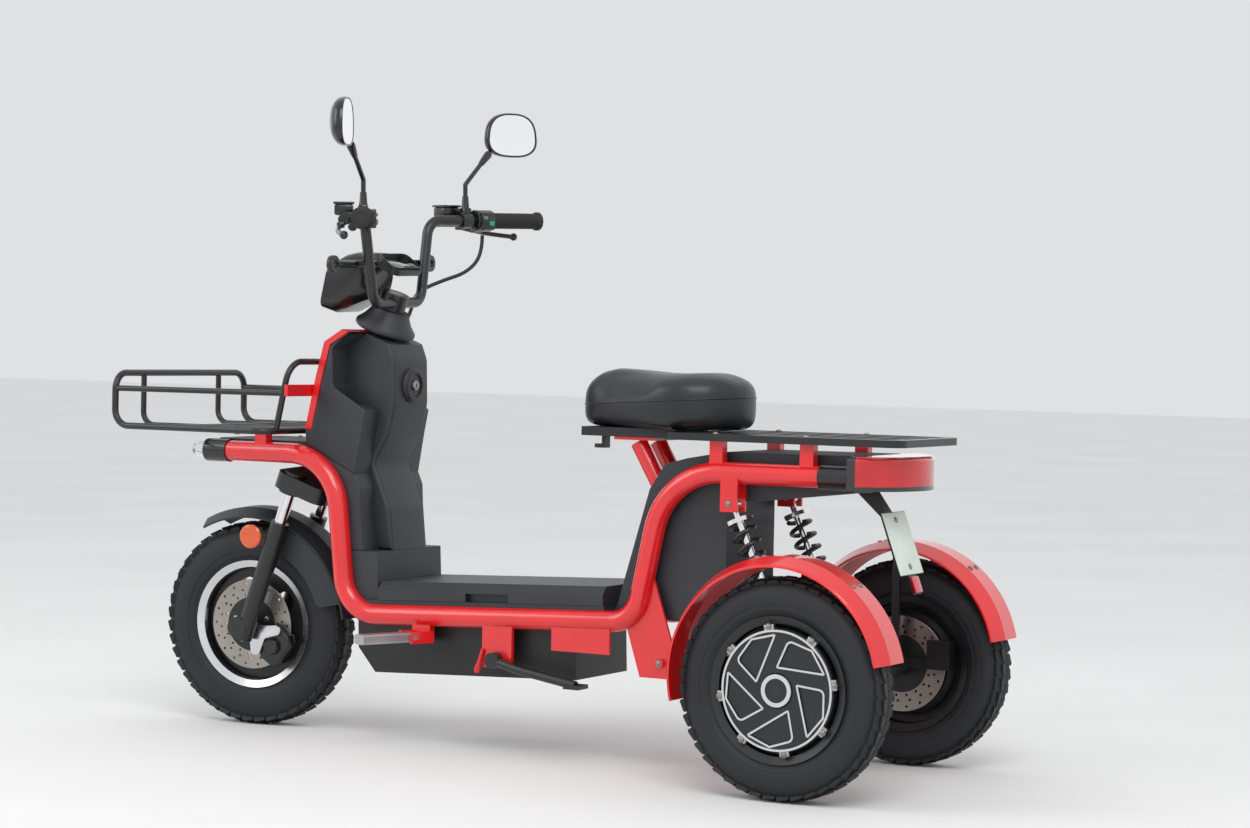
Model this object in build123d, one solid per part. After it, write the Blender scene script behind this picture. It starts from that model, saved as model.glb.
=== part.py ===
from build123d import *
from math import atan2, cos, degrees, hypot, pi, radians, sin, sqrt, tan
import os

# Electric three-wheeled cargo scooter, in millimetres.
# The scooter is laid out from the floor point under its rear axle: X ahead, Y to the rider's left,
# Z up. It is moved at the end so that the origin lies under the middle of its length.

# Wheels and tyres
WHEELBASE = 1375
REAR_TYRE_R = 205
FRONT_TYRE_R = 216
TYRE_W = 82
TYRE_SHOULDER = 12
BEAD_R = 127
RIM_LIP = 9
RIM_W = 72
TRACK = 574
AXLE_R = 10
HUB_FIT = 0.05
DISC_R = 95
DISC_T = 4
MOTOR_R = 104
MOTOR_W = 58

# Steering axis: it passes through this point and leans back at the top
STEER_BACK = 309
STEER_X = WHEELBASE - STEER_BACK
STEER_Z = 875
CASTER = 20
STEER_REST = 5.8
STEM_R = 15
HEAD_R = 24
HEAD_TOP = -42
CROWN_H = 34
BEARING_GAP = 5

# Frame tubes
TUBE_R = 21
TUBE_WALL = 3
TUBE_Y = 125
TOP_Z = 585
FRAME_FRONT_X = WHEELBASE - 1
FRAME_REAR_X = 12
NECK_X = STEER_X + 46
FLOOR_FRONT_X = NECK_X - 37
FLOOR_FRONT_Z = 262
FLOOR_REAR_X = 402
FLOOR_REAR_Z = 288
HIP_X = FLOOR_REAR_X - 62
NECK_BEND = 120
FLOOR_FRONT_BEND = 80
FLOOR_REAR_BEND = 65
HIP_BEND = 145
CROSS_R = 15
SEAT_GAP = 0.3

# Floor, battery and body panels
PANEL_HALF = 120
PANEL_T = 3
LID_REAR_X = FLOOR_REAR_X + 68
LID_FRONT_X = FLOOR_FRONT_X - 79
LID_HALF = 130
LID_LOW = 30
LID_TOP = 67
LID_EDGE = 16
LID_WALL = 4
TUB_REAR_X = FLOOR_REAR_X + 146
TUB_FRONT_X = FLOOR_FRONT_X - 14
TUB_DEPTH = 120
TUB_WALL = 4
BATTERY_L = 430
BATTERY_W = 176
BATTERY_H = 118
SHIELD_SEAM_Z = 392
COLUMN_HALF = 70

# Seat, rack and tail
SEAT_L = 370
SEAT_W = 250
SEAT_NOSE_W = 120
SEAT_H = 114
SEAT_Z = 662
SEAT_REAR_X = 222
PAN_H = 18
RACK_REAR_X = -156
RACK_FRONT_X = 347
RACK_HALF = 150
RACK_Z = 645
RACK_T = 14
RACK_BAR = 24
LAMP_REAR_X = -147
LAMP_Z = 594
LAMP_H = 64
CAP_R = 24
CAP_L = 60

# Rear fenders
FENDER_R = REAR_TYRE_R + 21
FENDER_AHEAD = 6
FENDER_UP = 17
FENDER_HALF = 64
FENDER_T = 3
FENDER_DROP = 16

# Front basket
BASKET_FRONT_X = WHEELBASE + 225
BASKET_HALF = 226
BASKET_LOW_Z = TOP_Z + 47
BASKET_RAIL_Z = BASKET_LOW_Z + 78
BASKET_TOP_Z = BASKET_LOW_Z + 110
BASKET_R = 7
HOOP_HALF = 192
HOOP_LOW_X = NECK_X + 100
HOOP_TOP_X = HOOP_LOW_X - 32
HOOP_TOP_Z = BASKET_LOW_Z + 143

# Handlebar and mirrors, with the steering straight ahead
BAR_R = 11
BAR_HALF = 400
BAR_Z = STEER_Z + 198
BAR_END_X = STEER_X - 150
RISER_HALF = 142
RISER_X = STEER_X - 18
RISER_LOW_HALF = 104
RISER_LOW_Z = STEER_Z + 25
GRIP_R = 17
GRIP_L = 128
MIRROR_W = 148
MIRROR_H = 96
MIRROR_Z = STEER_Z + 384

MID_X = (BASKET_FRONT_X + BASKET_R + FENDER_AHEAD - FENDER_R) / 2
FLOOR_SLOPE = degrees(atan2(FLOOR_REAR_Z - FLOOR_FRONT_Z, FLOOR_FRONT_X - FLOOR_REAR_X))
FLOOR = Pos(FLOOR_REAR_X, 0, FLOOR_REAR_Z) * Rot(0, FLOOR_SLOPE, 0)
STEER = Pos(STEER_X, 0, STEER_Z) * Rot(0, -CASTER, 0)
STEER_AXIS = Axis((STEER_X, 0, STEER_Z), (-sin(radians(CASTER)), 0, cos(radians(CASTER))))
AXLE_DX = WHEELBASE - STEER_X
AXLE_DZ = FRONT_TYRE_R - STEER_Z
AXLE_S = -AXLE_DX * sin(radians(CASTER)) + AXLE_DZ * cos(radians(CASTER))
AXLE_AHEAD = AXLE_DX * cos(radians(CASTER)) + AXLE_DZ * sin(radians(CASTER))
LEG_AHEAD = AXLE_AHEAD - 13
LEG_Y = 82
CROWN_S = -392
HEAD_BOTTOM = CROWN_S + CROWN_H / 2 + BEARING_GAP

os.makedirs("parts", exist_ok=True)


def save(name, shape, steered=False):
    if steered:
        shape = shape.rotate(STEER_AXIS, STEER_REST)
    export_step(Pos(-MID_X, 0, 0) * shape, f"parts/{name}.step")


def both(shape):
    return shape + mirror(shape, Plane.XZ)


def pipe(points, bends, radius, bore=0):
    path = FilletPolyline(*points, radius=bends) if len(points) > 2 else Line(*points)
    ring = Circle(radius) - Circle(bore) if bore else Circle(radius)
    return sweep(Plane(origin=path @ 0, z_dir=path % 0) * ring, path=path)


def rod(start, end, radius):
    return pipe([start, end], 0, radius)


def slab(points, half, y=0):
    return extrude(Plane.XZ.offset(-y) * make_face(Polyline(*points, close=True)), half, both=True)


def box(x0, x1, y0, y1, z0, z1):
    return Pos((x0 + x1) / 2, (y0 + y1) / 2, (z0 + z1) / 2) * Box(abs(x1 - x0), abs(y1 - y0), abs(z1 - z0))


def disc_y(radius, y0, y1, x=0, z=0):
    return Pos(x, (y0 + y1) / 2, z) * Rot(90, 0, 0) * Cylinder(radius, abs(y1 - y0))


def turned(profile):
    return revolve(make_face(Polyline(*profile, close=True)), Axis.Y, 360)


# Frame
def tube_path():
    corners = [(FRAME_FRONT_X, TOP_Z), (NECK_X, TOP_Z), (FLOOR_FRONT_X, FLOOR_FRONT_Z),
               (FLOOR_REAR_X, FLOOR_REAR_Z), (HIP_X, TOP_Z), (FRAME_REAR_X, TOP_Z)]
    return [(x, TUBE_Y, z) for x, z in corners]


BENDS = [NECK_BEND, FLOOR_FRONT_BEND, FLOOR_REAR_BEND, HIP_BEND]
CHANNEL = both(pipe(tube_path(), BENDS, TUBE_R + SEAT_GAP))
RACK_STATIONS = [40, 230]
BASKET_STATION = BASKET_FRONT_X - 310
SHOCK_TOP_X = 196
SHOCK_TOP_Z = TOP_Z - 57
SHOCK_Y = TUBE_Y
SHOCK_LOW_X = 78
SHOCK_LOW_Z = REAR_TYRE_R + 57
EAR_T = 6
PIVOT_X = FLOOR_REAR_X - 57
PIVOT_Z = FLOOR_REAR_Z - 76
PIVOT_R = 9
PIVOT_EAR_Y = TUBE_Y - 4
STAND_X = FLOOR_REAR_X + 304
STAND_Z = 194
STAND_Y = TUBE_Y + 25
PEG_X = FLOOR_FRONT_X - 184
PEG_Z = 230
PEG_Y = TUBE_Y + 47
PEG_TURN = 24
PEG_L = 118
PEG_HALF = 17
PIN_R = 5
STAND_PIN_R = 6


PEG_FRAME = Pos(PEG_X, PEG_Y, PEG_Z) * Rot(0, 0, -PEG_TURN)


def floor_z(x):
    return FLOOR_REAR_Z - (x - FLOOR_REAR_X) * tan(radians(FLOOR_SLOPE))


def side_frame(left):
    tube = pipe(tube_path(), BENDS, TUBE_R)
    for x in RACK_STATIONS:
        tube += box(x - 14, x + 14, TUBE_Y - 10, TUBE_Y + 10, TOP_Z, RACK_Z)
    tube += box(BASKET_STATION - 14, BASKET_STATION + 14, TUBE_Y - 10, TUBE_Y + 12, TOP_Z,
                BASKET_LOW_Z - RUNG_R)
    for dy in (-17, 17):
        ear = box(SHOCK_TOP_X - 18, SHOCK_TOP_X + 18, SHOCK_Y + dy - EAR_T / 2, SHOCK_Y + dy + EAR_T / 2,
                  SHOCK_TOP_Z - 16, TOP_Z)
        tube += ear
    pivot_plate = [(PIVOT_X - 46, PIVOT_Z - 30), (PIVOT_X + 46, PIVOT_Z - 30), (PIVOT_X + 80, FLOOR_REAR_Z),
                   (PIVOT_X + 20, FLOOR_REAR_Z + 90), (PIVOT_X - 26, PIVOT_Z + 30)]
    tube += slab(pivot_plate, EAR_T / 2, PIVOT_EAR_Y)
    if left:
        tube += box(STAND_X - 34, STAND_X + 34, TUBE_Y + 4, TUBE_Y + 14, STAND_Z - 16, floor_z(STAND_X))
        tube += box(450, 580, TUBE_Y + 10, TUBE_Y + 16, 222, floor_z(515))
        tube -= disc_y(STAND_PIN_R + HUB_FIT, TUBE_Y, TUBE_Y + 30, STAND_X, STAND_Z)
    tube += box(PEG_X - 26, PEG_X + 16, TUBE_Y - 6, TUBE_Y + 12, PEG_Z - 12, floor_z(PEG_X))
    for side in (-1, 1):
        tube += PEG_FRAME * box(side * (PEG_HALF + SEAT_GAP), side * (PEG_HALF + EAR_T), -40, 9, -12, 12)
    tube += PEG_FRAME * box(-PEG_HALF - EAR_T, PEG_HALF + EAR_T, -44, -18, -12, 12)
    tube -= PEG_FRAME * Rot(0, 90, 0) * Cylinder(PIN_R + HUB_FIT, 80)
    tube -= pipe(tube_path(), BENDS, TUBE_R - TUBE_WALL)
    tube -= disc_y(PIVOT_R, 0, TUBE_Y + 60, PIVOT_X, PIVOT_Z)
    tube -= disc_y(PIN_R + HUB_FIT, TUBE_Y - 40, TUBE_Y + 40, SHOCK_TOP_X, SHOCK_TOP_Z)
    return tube if left else mirror(tube, Plane.XZ)


FRONT_LINE = [(1190, 612), (1190, 636), (1166, 743), (1146, 817), (1098, 846), (1066, 860)]
CARRIER_Z = BASKET_LOW_Z + 84
CARRIER_H = 24
CARRIER_HALF = HOOP_HALF + 13
STRUT_Y = 14


def hoop_x(z):
    share = (z - BASKET_LOW_Z) / (HOOP_TOP_Z - BASKET_LOW_Z)
    return HOOP_LOW_X + (HOOP_TOP_X - HOOP_LOW_X) * share


def front_x(z):
    (x0, z0), (x1, z1) = FRONT_LINE[1:3]
    return x0 + (x1 - x0) * (z - z0) / (z1 - z0)


def axis_x(z):
    return STEER_X + (STEER_Z - z) * tan(radians(CASTER))


CROSSES = [(FLOOR_FRONT_X + 2, FLOOR_FRONT_Z + 24), (FLOOR_REAR_X - 10, FLOOR_REAR_Z + 20), (60, TOP_Z)]
SEAT_POST_X = HIP_X + 32
SEAT_POST_Z = TOP_Z - 85


def cross_frame():
    inner = TUBE_Y - TUBE_R
    head = STEER * Pos(0, 0, (HEAD_TOP + HEAD_BOTTOM) / 2) * Cylinder(HEAD_R, HEAD_TOP - HEAD_BOTTOM)
    head += disc_y(CROSS_R, -inner - 2, inner + 2, axis_x(TOP_Z), TOP_Z)
    low, high = CARRIER_Z - CARRIER_H / 2, CARRIER_Z + CARRIER_H / 2
    bar_front = hoop_x(high) - BASKET_R - SEAT_GAP
    bar_rear = front_x(low) + SEAT_GAP
    head += box(bar_rear, bar_front, -CARRIER_HALF, CARRIER_HALF, low, high)
    head += box(axis_x(CARRIER_Z), bar_rear, -STRUT_Y, STRUT_Y, low, high)
    for x, z in CROSSES + [(SEAT_POST_X, SEAT_POST_Z)]:
        head += disc_y(CROSS_R, -inner - 2, inner + 2, x, z)
    stem_hole = Cylinder(STEM_R + HUB_FIT, HEAD_TOP - HEAD_BOTTOM + 20)
    head -= STEER * Pos(0, 0, (HEAD_TOP + HEAD_BOTTOM) / 2) * stem_hole
    return head - CHANNEL_EXACT


CHANNEL_EXACT = both(pipe(tube_path(), BENDS, TUBE_R))


# Wheels, each turned about its own axle with its outer side towards +Y
def tyre(radius):
    half, rim = TYRE_W / 2, RIM_W / 2 - 6
    lip = BEAD_R + RIM_LIP
    profile = [(BEAD_R, -rim), (lip, -rim), (lip + 14, -half + 6), (radius - 34, -half), (radius - 14, -half + 8),
               (radius - 3, -half + 26), (radius, 0), (radius - 3, half - 26), (radius - 14, half - 8),
               (radius - 34, half), (lip + 14, half - 6), (lip, rim), (BEAD_R, rim)]
    return turned(profile)


def motor_wheel():
    rim, seat, drum = RIM_W / 2, RIM_W / 2 - 6, MOTOR_W / 2
    lip = BEAD_R + RIM_LIP - 0.5
    bore = AXLE_R + HUB_FIT
    profile = [(bore, -drum - 16), (40, -drum - 16), (40, -drum - 6), (MOTOR_R - 8, -drum - 6), (MOTOR_R, -drum + 6), (MOTOR_R, -10),
               (BEAD_R - 8, -14), (BEAD_R - 6, -seat), (lip, -rim), (lip, -seat), (BEAD_R, -seat),
               (BEAD_R, seat), (lip, seat), (lip, rim), (BEAD_R - 6, seat), (BEAD_R - 8, 14),
               (MOTOR_R, 10), (MOTOR_R, drum), (MOTOR_R - 8, drum + 6), (32, drum + 6), (30, drum + 12),
               (bore, drum + 12)]
    return turned(profile)


FRONT_HUB_HALF = 34


def front_rim():
    rim, seat = RIM_W / 2, RIM_W / 2 - 6
    lip = BEAD_R + RIM_LIP - 0.5
    bore = AXLE_R + HUB_FIT
    profile = [(bore, -FRONT_HUB_HALF), (28, -FRONT_HUB_HALF), (30, -8), (BEAD_R - 10, -8), (BEAD_R - 6, -seat),
               (lip, -rim), (lip, -seat), (BEAD_R, -seat), (BEAD_R, seat), (lip, seat), (lip, rim),
               (BEAD_R - 6, seat), (BEAD_R - 10, 8), (30, 8), (28, FRONT_HUB_HALF), (bore, FRONT_HUB_HALF)]
    wheel = turned(profile)
    for turn in range(5):
        wheel -= Rot(0, turn * 72, 0) * disc_y(24, -20, 20, 76, 0)
    return wheel


def brake_disc(y0):
    ring = disc_y(DISC_R, y0, y0 + DISC_T) - disc_y(AXLE_R + 2, y0 - 1, y0 + DISC_T + 1)
    return ring


DISC_OFF = 16
REAR_DISC_Y = -MOTOR_W / 2 - DISC_OFF - DISC_T
FRONT_DISC_Y = FRONT_HUB_HALF


def rear_place(shape, left):
    placed = Pos(0, TRACK / 2, REAR_TYRE_R) * shape
    return placed if left else mirror(placed, Plane.XZ)


# Rear axle and swing arm
BEAM_R = 24
BEAM_HALF = TRACK / 2 + REAR_DISC_Y - BEARING_GAP
ARM_Y = 96


FENDER_Y = TRACK / 2 - 9


def swing_arm():
    tube_half = PIVOT_EAR_Y - EAR_T / 2 - SEAT_GAP
    arm = disc_y(22, -tube_half, tube_half, PIVOT_X, PIVOT_Z)
    arm += disc_y(PIVOT_R - HUB_FIT, -TUBE_Y - 8, TUBE_Y + 8, PIVOT_X, PIVOT_Z)
    for y in (-ARM_Y, ARM_Y):
        arm += slab([(PIVOT_X, PIVOT_Z - 18), (PIVOT_X, PIVOT_Z + 18), (0, REAR_TYRE_R + 26),
                     (0, REAR_TYRE_R - 26)], 12, y)
        arm += disc_y(BEAM_R + 10, y - 12, y + 12, 0, REAR_TYRE_R)
    arm += disc_y(14, -ARM_Y, ARM_Y, PIVOT_X - 120, (PIVOT_Z * 2 + REAR_TYRE_R) / 3)
    return arm - disc_y(BEAM_R, -BEAM_HALF, BEAM_HALF, 0, REAR_TYRE_R)


def axle_beam():
    beam = disc_y(BEAM_R, -BEAM_HALF, BEAM_HALF, 0, REAR_TYRE_R)
    beam += disc_y(AXLE_R, -TRACK / 2 - MOTOR_W / 2 - 12, TRACK / 2 + MOTOR_W / 2 + 12, 0, REAR_TYRE_R)
    stay_y = FENDER_Y - FENDER_HALF - SEAT_GAP
    for side in (-1, 1):
        beam += box(SHOCK_LOW_X - 14, SHOCK_LOW_X + 14, side * SHOCK_Y - 13, side * SHOCK_Y + 13,
                    REAR_TYRE_R - 8, SHOCK_LOW_Z - 14)
        beam += box(0, SHOCK_LOW_X, side * SHOCK_Y - 13, side * SHOCK_Y + 13, REAR_TYRE_R - 8, REAR_TYRE_R + 12)
        y = side * (TRACK / 2 + REAR_DISC_Y + DISC_T / 2)
        caliper = box(-DISC_R - 14, -DISC_R + 34, y - 16, y + side * 0 + 9, REAR_TYRE_R - 6, REAR_TYRE_R + 52)
        if side < 0:
            caliper = box(-DISC_R - 14, -DISC_R + 34, y + 16, y - 9, REAR_TYRE_R - 6, REAR_TYRE_R + 52)
        caliper -= box(-DISC_R - 6, 0, y - DISC_T / 2 - 2, y + DISC_T / 2 + 2, REAR_TYRE_R - 20, REAR_TYRE_R + 80)
        beam += caliper
        beam += box(-DISC_R + 20, 0, y - side * 16, y - side * 7, REAR_TYRE_R - 6, REAR_TYRE_R + 14)
        beam += box(-8, 8, side * (stay_y - 8), side * stay_y, REAR_TYRE_R,
                    REAR_TYRE_R + FENDER_UP + FENDER_R - FENDER_DROP)
    return beam


# Shock absorbers
SHOCK_TURN = degrees(atan2(SHOCK_TOP_X - SHOCK_LOW_X, SHOCK_TOP_Z - SHOCK_LOW_Z))
SHOCK_L = hypot(SHOCK_TOP_X - SHOCK_LOW_X, SHOCK_TOP_Z - SHOCK_LOW_Z)
SPRING_R = 22
SPRING_WIRE = 4.5
SPRING_L = 165
SPRING_TURNS = 6


def shock_frame(side):
    return Pos(SHOCK_LOW_X, side * SHOCK_Y, SHOCK_LOW_Z) * Rot(0, SHOCK_TURN, 0)


def damper(side):
    body = Pos(0, 0, 60) * Cylinder(15, 100) + Pos(0, 0, SHOCK_L / 2 + 40) * Cylinder(7, SHOCK_L - 90)
    body += Rot(90, 0, 0) * Cylinder(14, 24) + Pos(0, 0, SHOCK_L) * Rot(90, 0, 0) * Cylinder(14, 27.4)
    body += Pos(0, 0, SHOCK_L) * Rot(90, 0, 0) * Cylinder(PIN_R, 41)
    spring_low = SHOCK_L - 40 - SPRING_L
    body += Pos(0, 0, spring_low - 4) * Cylinder(27, 8) + Pos(0, 0, SHOCK_L - 36) * Cylinder(27, 8)
    return shock_frame(side) * body


def coil(side):
    spring_low = SHOCK_L - 40 - SPRING_L
    pitch = (SPRING_L - 2 * SPRING_WIRE) / SPRING_TURNS
    path = Helix(pitch, pitch * SPRING_TURNS, SPRING_R)
    wire = sweep(Plane(origin=path @ 0, z_dir=path % 0) * Circle(SPRING_WIRE), path=path, is_frenet=True)
    return shock_frame(side) * Pos(0, 0, spring_low + SPRING_WIRE) * wire


# Rear fenders
FENDER_FRONT = -14
FENDER_REAR = 169


def fender(radius, half, drop, start, sweep_deg):
    crown = [(radius - drop, -half), (radius - drop + 2, -half + 2), (radius, -half * 0.45), (radius, half * 0.45),
             (radius - drop + 2, half - 2), (radius - drop, half), (radius - drop - FENDER_T, half),
             (radius - drop - FENDER_T, half - FENDER_T), (radius - FENDER_T, half * 0.42),
             (radius - FENDER_T, -half * 0.42), (radius - drop - FENDER_T, -half + FENDER_T),
             (radius - drop - FENDER_T, -half)]
    face = make_face(Polyline(*crown, close=True))
    return Rot(0, -start, 0) * revolve(face, Axis((0, 0, 0), (0, -1, 0)), sweep_deg)


def rear_fender(left):
    shell = fender(FENDER_R, FENDER_HALF, FENDER_DROP, FENDER_FRONT, FENDER_REAR - FENDER_FRONT)
    placed = Pos(FENDER_AHEAD, FENDER_Y, REAR_TYRE_R + FENDER_UP) * shell
    return placed if left else mirror(placed, Plane.XZ)


# Body panels
REAR_LINE = [(1040, 835), (1008, 781), (1008, 717), (1024, 626), (1046, 570), (1040, 532), (1007, SHIELD_SEAM_Z)]
EDGE_REAR_LINE = [(1060, 835), (1043, 781), (1043, 717), (1050, 640), (1066, 570), (1062, 532),
                  (1030, SHIELD_SEAM_Z)]


def leg_x(z):
    return FLOOR_FRONT_X + (NECK_X - FLOOR_FRONT_X) * (z - FLOOR_FRONT_Z) / (TOP_Z - FLOOR_FRONT_Z)


def shield_profile(rear):
    inner_leg = [(leg_x(SHIELD_SEAM_Z), SHIELD_SEAM_Z), (leg_x(490), 490), (1128, 560), (1160, 600)]
    return inner_leg + FRONT_LINE + rear


def prism(points, y0, y1):
    return slab(points, abs(y1 - y0) / 2, (y0 + y1) / 2)


def leg_shield():
    shell = slab(shield_profile(REAR_LINE), COLUMN_HALF)
    edge = Plane.XZ.offset(-PANEL_HALF) * make_face(Polyline(*shield_profile(EDGE_REAR_LINE), close=True))
    full = Plane.XZ.offset(-COLUMN_HALF) * make_face(Polyline(*shield_profile(REAR_LINE), close=True))
    flank = loft([full, edge], ruled=True)
    shell += flank + mirror(flank, Plane.XZ)
    return shell


def cut_panels(shape):
    return shape - CHANNEL


def neck_clear(shape):
    shape -= STEER * Pos(0, 0, HEAD_TOP + 200) * Box(800, 500, 400)
    shape -= STEER * Pos(0, 0, -150) * Cylinder(HEAD_R + 0.5, 500)
    low, high = CARRIER_Z - CARRIER_H / 2 - SEAT_GAP, CARRIER_Z + CARRIER_H / 2 + SEAT_GAP
    return shape - box(axis_x(CARRIER_Z), 1300, -STRUT_Y - SEAT_GAP, STRUT_Y + SEAT_GAP, low, high)


def front_panel():
    solid = slab(shield_profile(REAR_LINE), PANEL_HALF)
    panel = solid - Pos(-14, 0, -6) * solid
    return neck_clear(panel & box(1062, 1300, -PANEL_HALF, PANEL_HALF, 636, 900))


def shield():
    solid = leg_shield()
    solid &= Pos(-14.3, 0, -6.3) * slab(shield_profile(REAR_LINE), PANEL_HALF) + box(900, 1189, -130, 130, 300, 635.7)
    hollow = offset(make_face(Polyline(*shield_profile(REAR_LINE), close=True)), -2 * PANEL_T)
    cavity = extrude(Plane.XZ * hollow, COLUMN_HALF - PANEL_T, both=True)
    cavity &= box(900, 1170, -130, 130, 300, 845)
    solid -= cavity
    pocket = [(1130, 733), (1030, 678), (1000, 900), (1150, 900)]
    for side in (-1, 1):
        solid -= prism(pocket, side * (COLUMN_HALF + PANEL_T), side * (PANEL_HALF + 5))
        solid -= prism([(1125, 760), (1125, 665), (1056, 665), (1056, 760)], side * (COLUMN_HALF + PANEL_T),
                       side * (PANEL_HALF - PANEL_T))
    solid = neck_clear(solid)
    solid -= disc_y(CROSS_R + SEAT_GAP, -130, 130, axis_x(TOP_Z), TOP_Z)
    solid -= box(1000, 1300, -16, 16, 300, 600)
    return cut_panels(solid)


def front_deck():
    low = TOP_Z + sqrt((TUBE_R + SEAT_GAP) ** 2 - (TUBE_Y - 112) ** 2)
    deck = box(1193, 1432, -112, 112, low, low + 8)
    deck = fillet(deck.edges().filter_by(Axis.Z).group_by(Axis.X)[-1], 40)
    for side in (-1, 1):
        deck -= rod((FRAME_FRONT_X, side * TUBE_Y, TOP_Z), (1500, side * TUBE_Y, TOP_Z), CAP_R + SEAT_GAP)
    return deck - STEER * Pos(0, 0, -150) * Cylinder(HEAD_R + 1, 500)


def floor_tray():
    x0, x1 = LID_REAR_X - FLOOR_REAR_X, LID_FRONT_X - FLOOR_REAR_X
    end = TUB_FRONT_X - FLOOR_REAR_X
    ring = box(x0, end, -PANEL_HALF - 8, PANEL_HALF + 8, TUBE_R + SEAT_GAP - 4, LID_LOW - SEAT_GAP)
    ring -= box(TUB_REAR_X - FLOOR_REAR_X + TUB_WALL, x1 + 5, -96, 96, 0, LID_LOW + 10)
    ring = FLOOR * ring
    front = [(LID_FRONT_X + 5, floor_z(LID_FRONT_X) + 23), (LID_FRONT_X + 10, SHIELD_SEAM_Z - 0.4),
             (leg_x(SHIELD_SEAM_Z), SHIELD_SEAM_Z - 0.4), (leg_x(320), 320), (1062, floor_z(1062) + 23)]
    block = slab(front, PANEL_HALF) - slab([(x + 4, z - 4) for x, z in front], PANEL_HALF - 4)
    return cut_panels(ring + block)


def battery_tub():
    x0, x1 = TUB_REAR_X - FLOOR_REAR_X, TUB_FRONT_X - FLOOR_REAR_X
    half = TUBE_Y - TUBE_R - SEAT_GAP
    top = TUBE_R + SEAT_GAP - 4.3
    profile = [(x0, top), (x0, -TUB_DEPTH), (x1 - 40, -TUB_DEPTH), (x1, -TUB_DEPTH + 50), (x1, top)]
    inner = [(x0 + TUB_WALL, top + 5), (x0 + TUB_WALL, -TUB_DEPTH + TUB_WALL),
             (x1 - 42, -TUB_DEPTH + TUB_WALL), (x1 - TUB_WALL, -TUB_DEPTH + 52), (x1 - TUB_WALL, top + 5)]
    tub = slab(profile, half) - slab(inner, half - TUB_WALL)
    return FLOOR * tub


def battery():
    x0 = TUB_REAR_X - FLOOR_REAR_X + TUB_WALL + 12
    low = -TUB_DEPTH + TUB_WALL + 0.3
    return FLOOR * box(x0, x0 + BATTERY_L, -BATTERY_W / 2, BATTERY_W / 2, low, low + BATTERY_H)


def floor_lid():
    x0, x1 = LID_REAR_X - FLOOR_REAR_X + 1, LID_FRONT_X - FLOOR_REAR_X - 1
    lid = box(x0, x1, -LID_HALF, LID_HALF, LID_LOW, LID_TOP)
    lid = chamfer(lid.edges().filter_by(Axis.X).group_by(Axis.Z)[-1], LID_EDGE)
    inner = box(x0 + LID_WALL, x1 - LID_WALL, -LID_HALF + LID_EDGE, LID_HALF - LID_EDGE, LID_LOW - 5,
                LID_TOP - LID_WALL)
    lid -= inner
    slot_x = 736 - FLOOR_REAR_X
    return FLOOR * (lid - box(slot_x - 50, slot_x + 50, LID_HALF - 14, LID_HALF + 5, LID_LOW - 5, LID_LOW + 17))


FAIRING = [(464, 302), (455, 315), (388, 546), (355, 596), (306, 609), (224, 624), (-46, 626), (-46, 556),
           (147, 533), (219, 530), (219, 300), (300, 292)]


def rear_fairing():
    face = make_face(Polyline(*FAIRING, close=True))
    solid = extrude(Plane.XZ * face, TUBE_Y - TUBE_R - SEAT_GAP, both=True)
    inner = extrude(Plane.XZ * offset(face, -PANEL_T), TUBE_Y - TUBE_R - SEAT_GAP - PANEL_T, both=True)
    solid -= inner
    for x, z in CROSSES + [(SEAT_POST_X, SEAT_POST_Z)]:
        solid -= disc_y(CROSS_R + SEAT_GAP, -130, 130, x, z)
    for side in (-1, 1):
        solid -= seat_leg(side, 17.4)
        solid -= rod((FRAME_REAR_X + 1, side * TUBE_Y, TOP_Z), (FRAME_REAR_X - 80, side * TUBE_Y, TOP_Z),
                     CAP_R + SEAT_GAP)
    return solid


# Seat
def seat_leg(side, radius):
    return rod((SEAT_POST_X, side * 40, SEAT_POST_Z + 3), (448, side * 40, SEAT_Z - 30), radius)


def seat_post():
    post = seat_leg(-1, 17) + seat_leg(1, 17)
    post -= disc_y(CROSS_R + SEAT_GAP, -130, 130, SEAT_POST_X, SEAT_POST_Z)
    return post + box(400, 490, -66, 66, SEAT_Z - 24, SEAT_Z - PAN_H - SEAT_GAP)


def seat_pan():
    pan = box(RACK_FRONT_X + 5, SEAT_REAR_X + SEAT_L - 30, -70, 70, SEAT_Z - PAN_H, SEAT_Z - SEAT_GAP)
    hook_x = 545
    pan += box(hook_x - 4, hook_x + 4, -10, 10, SEAT_Z - 44, SEAT_Z - 4)
    return pan + box(hook_x - 4, hook_x + 20, -10, 10, SEAT_Z - 44, SEAT_Z - 36)


def seat():
    rear = SEAT_W / 2
    nose = SEAT_NOSE_W / 2
    outline = make_hull((Pos(SEAT_REAR_X + rear, 0) * Circle(rear)).edges()
                        + (Pos(SEAT_REAR_X + SEAT_L - nose, 0) * Circle(nose)).edges())
    pad = Pos(0, 0, SEAT_Z) * extrude(outline, SEAT_H)
    pad = fillet(pad.edges().group_by(Axis.Z)[-1], 36)
    return fillet(pad.edges().group_by(Axis.Z)[0], 24)


def rear_rack():
    low = RACK_Z + SEAT_GAP
    outer = box(RACK_REAR_X, RACK_FRONT_X, -RACK_HALF, RACK_HALF, low, low + RACK_T)
    outer = fillet(outer.edges().filter_by(Axis.Z), 34)
    inner = box(RACK_REAR_X + RACK_BAR, RACK_FRONT_X - RACK_BAR, -RACK_HALF + RACK_BAR, RACK_HALF - RACK_BAR,
                low - 1, low + RACK_T + 1)
    rack = outer - fillet(inner.edges().filter_by(Axis.Z), 14)
    for y in (-72, 0, 72):
        rack += box(RACK_REAR_X + 5, RACK_FRONT_X - 5, y - 11, y + 11, low + 3, low + RACK_T)
    return rack


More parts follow.
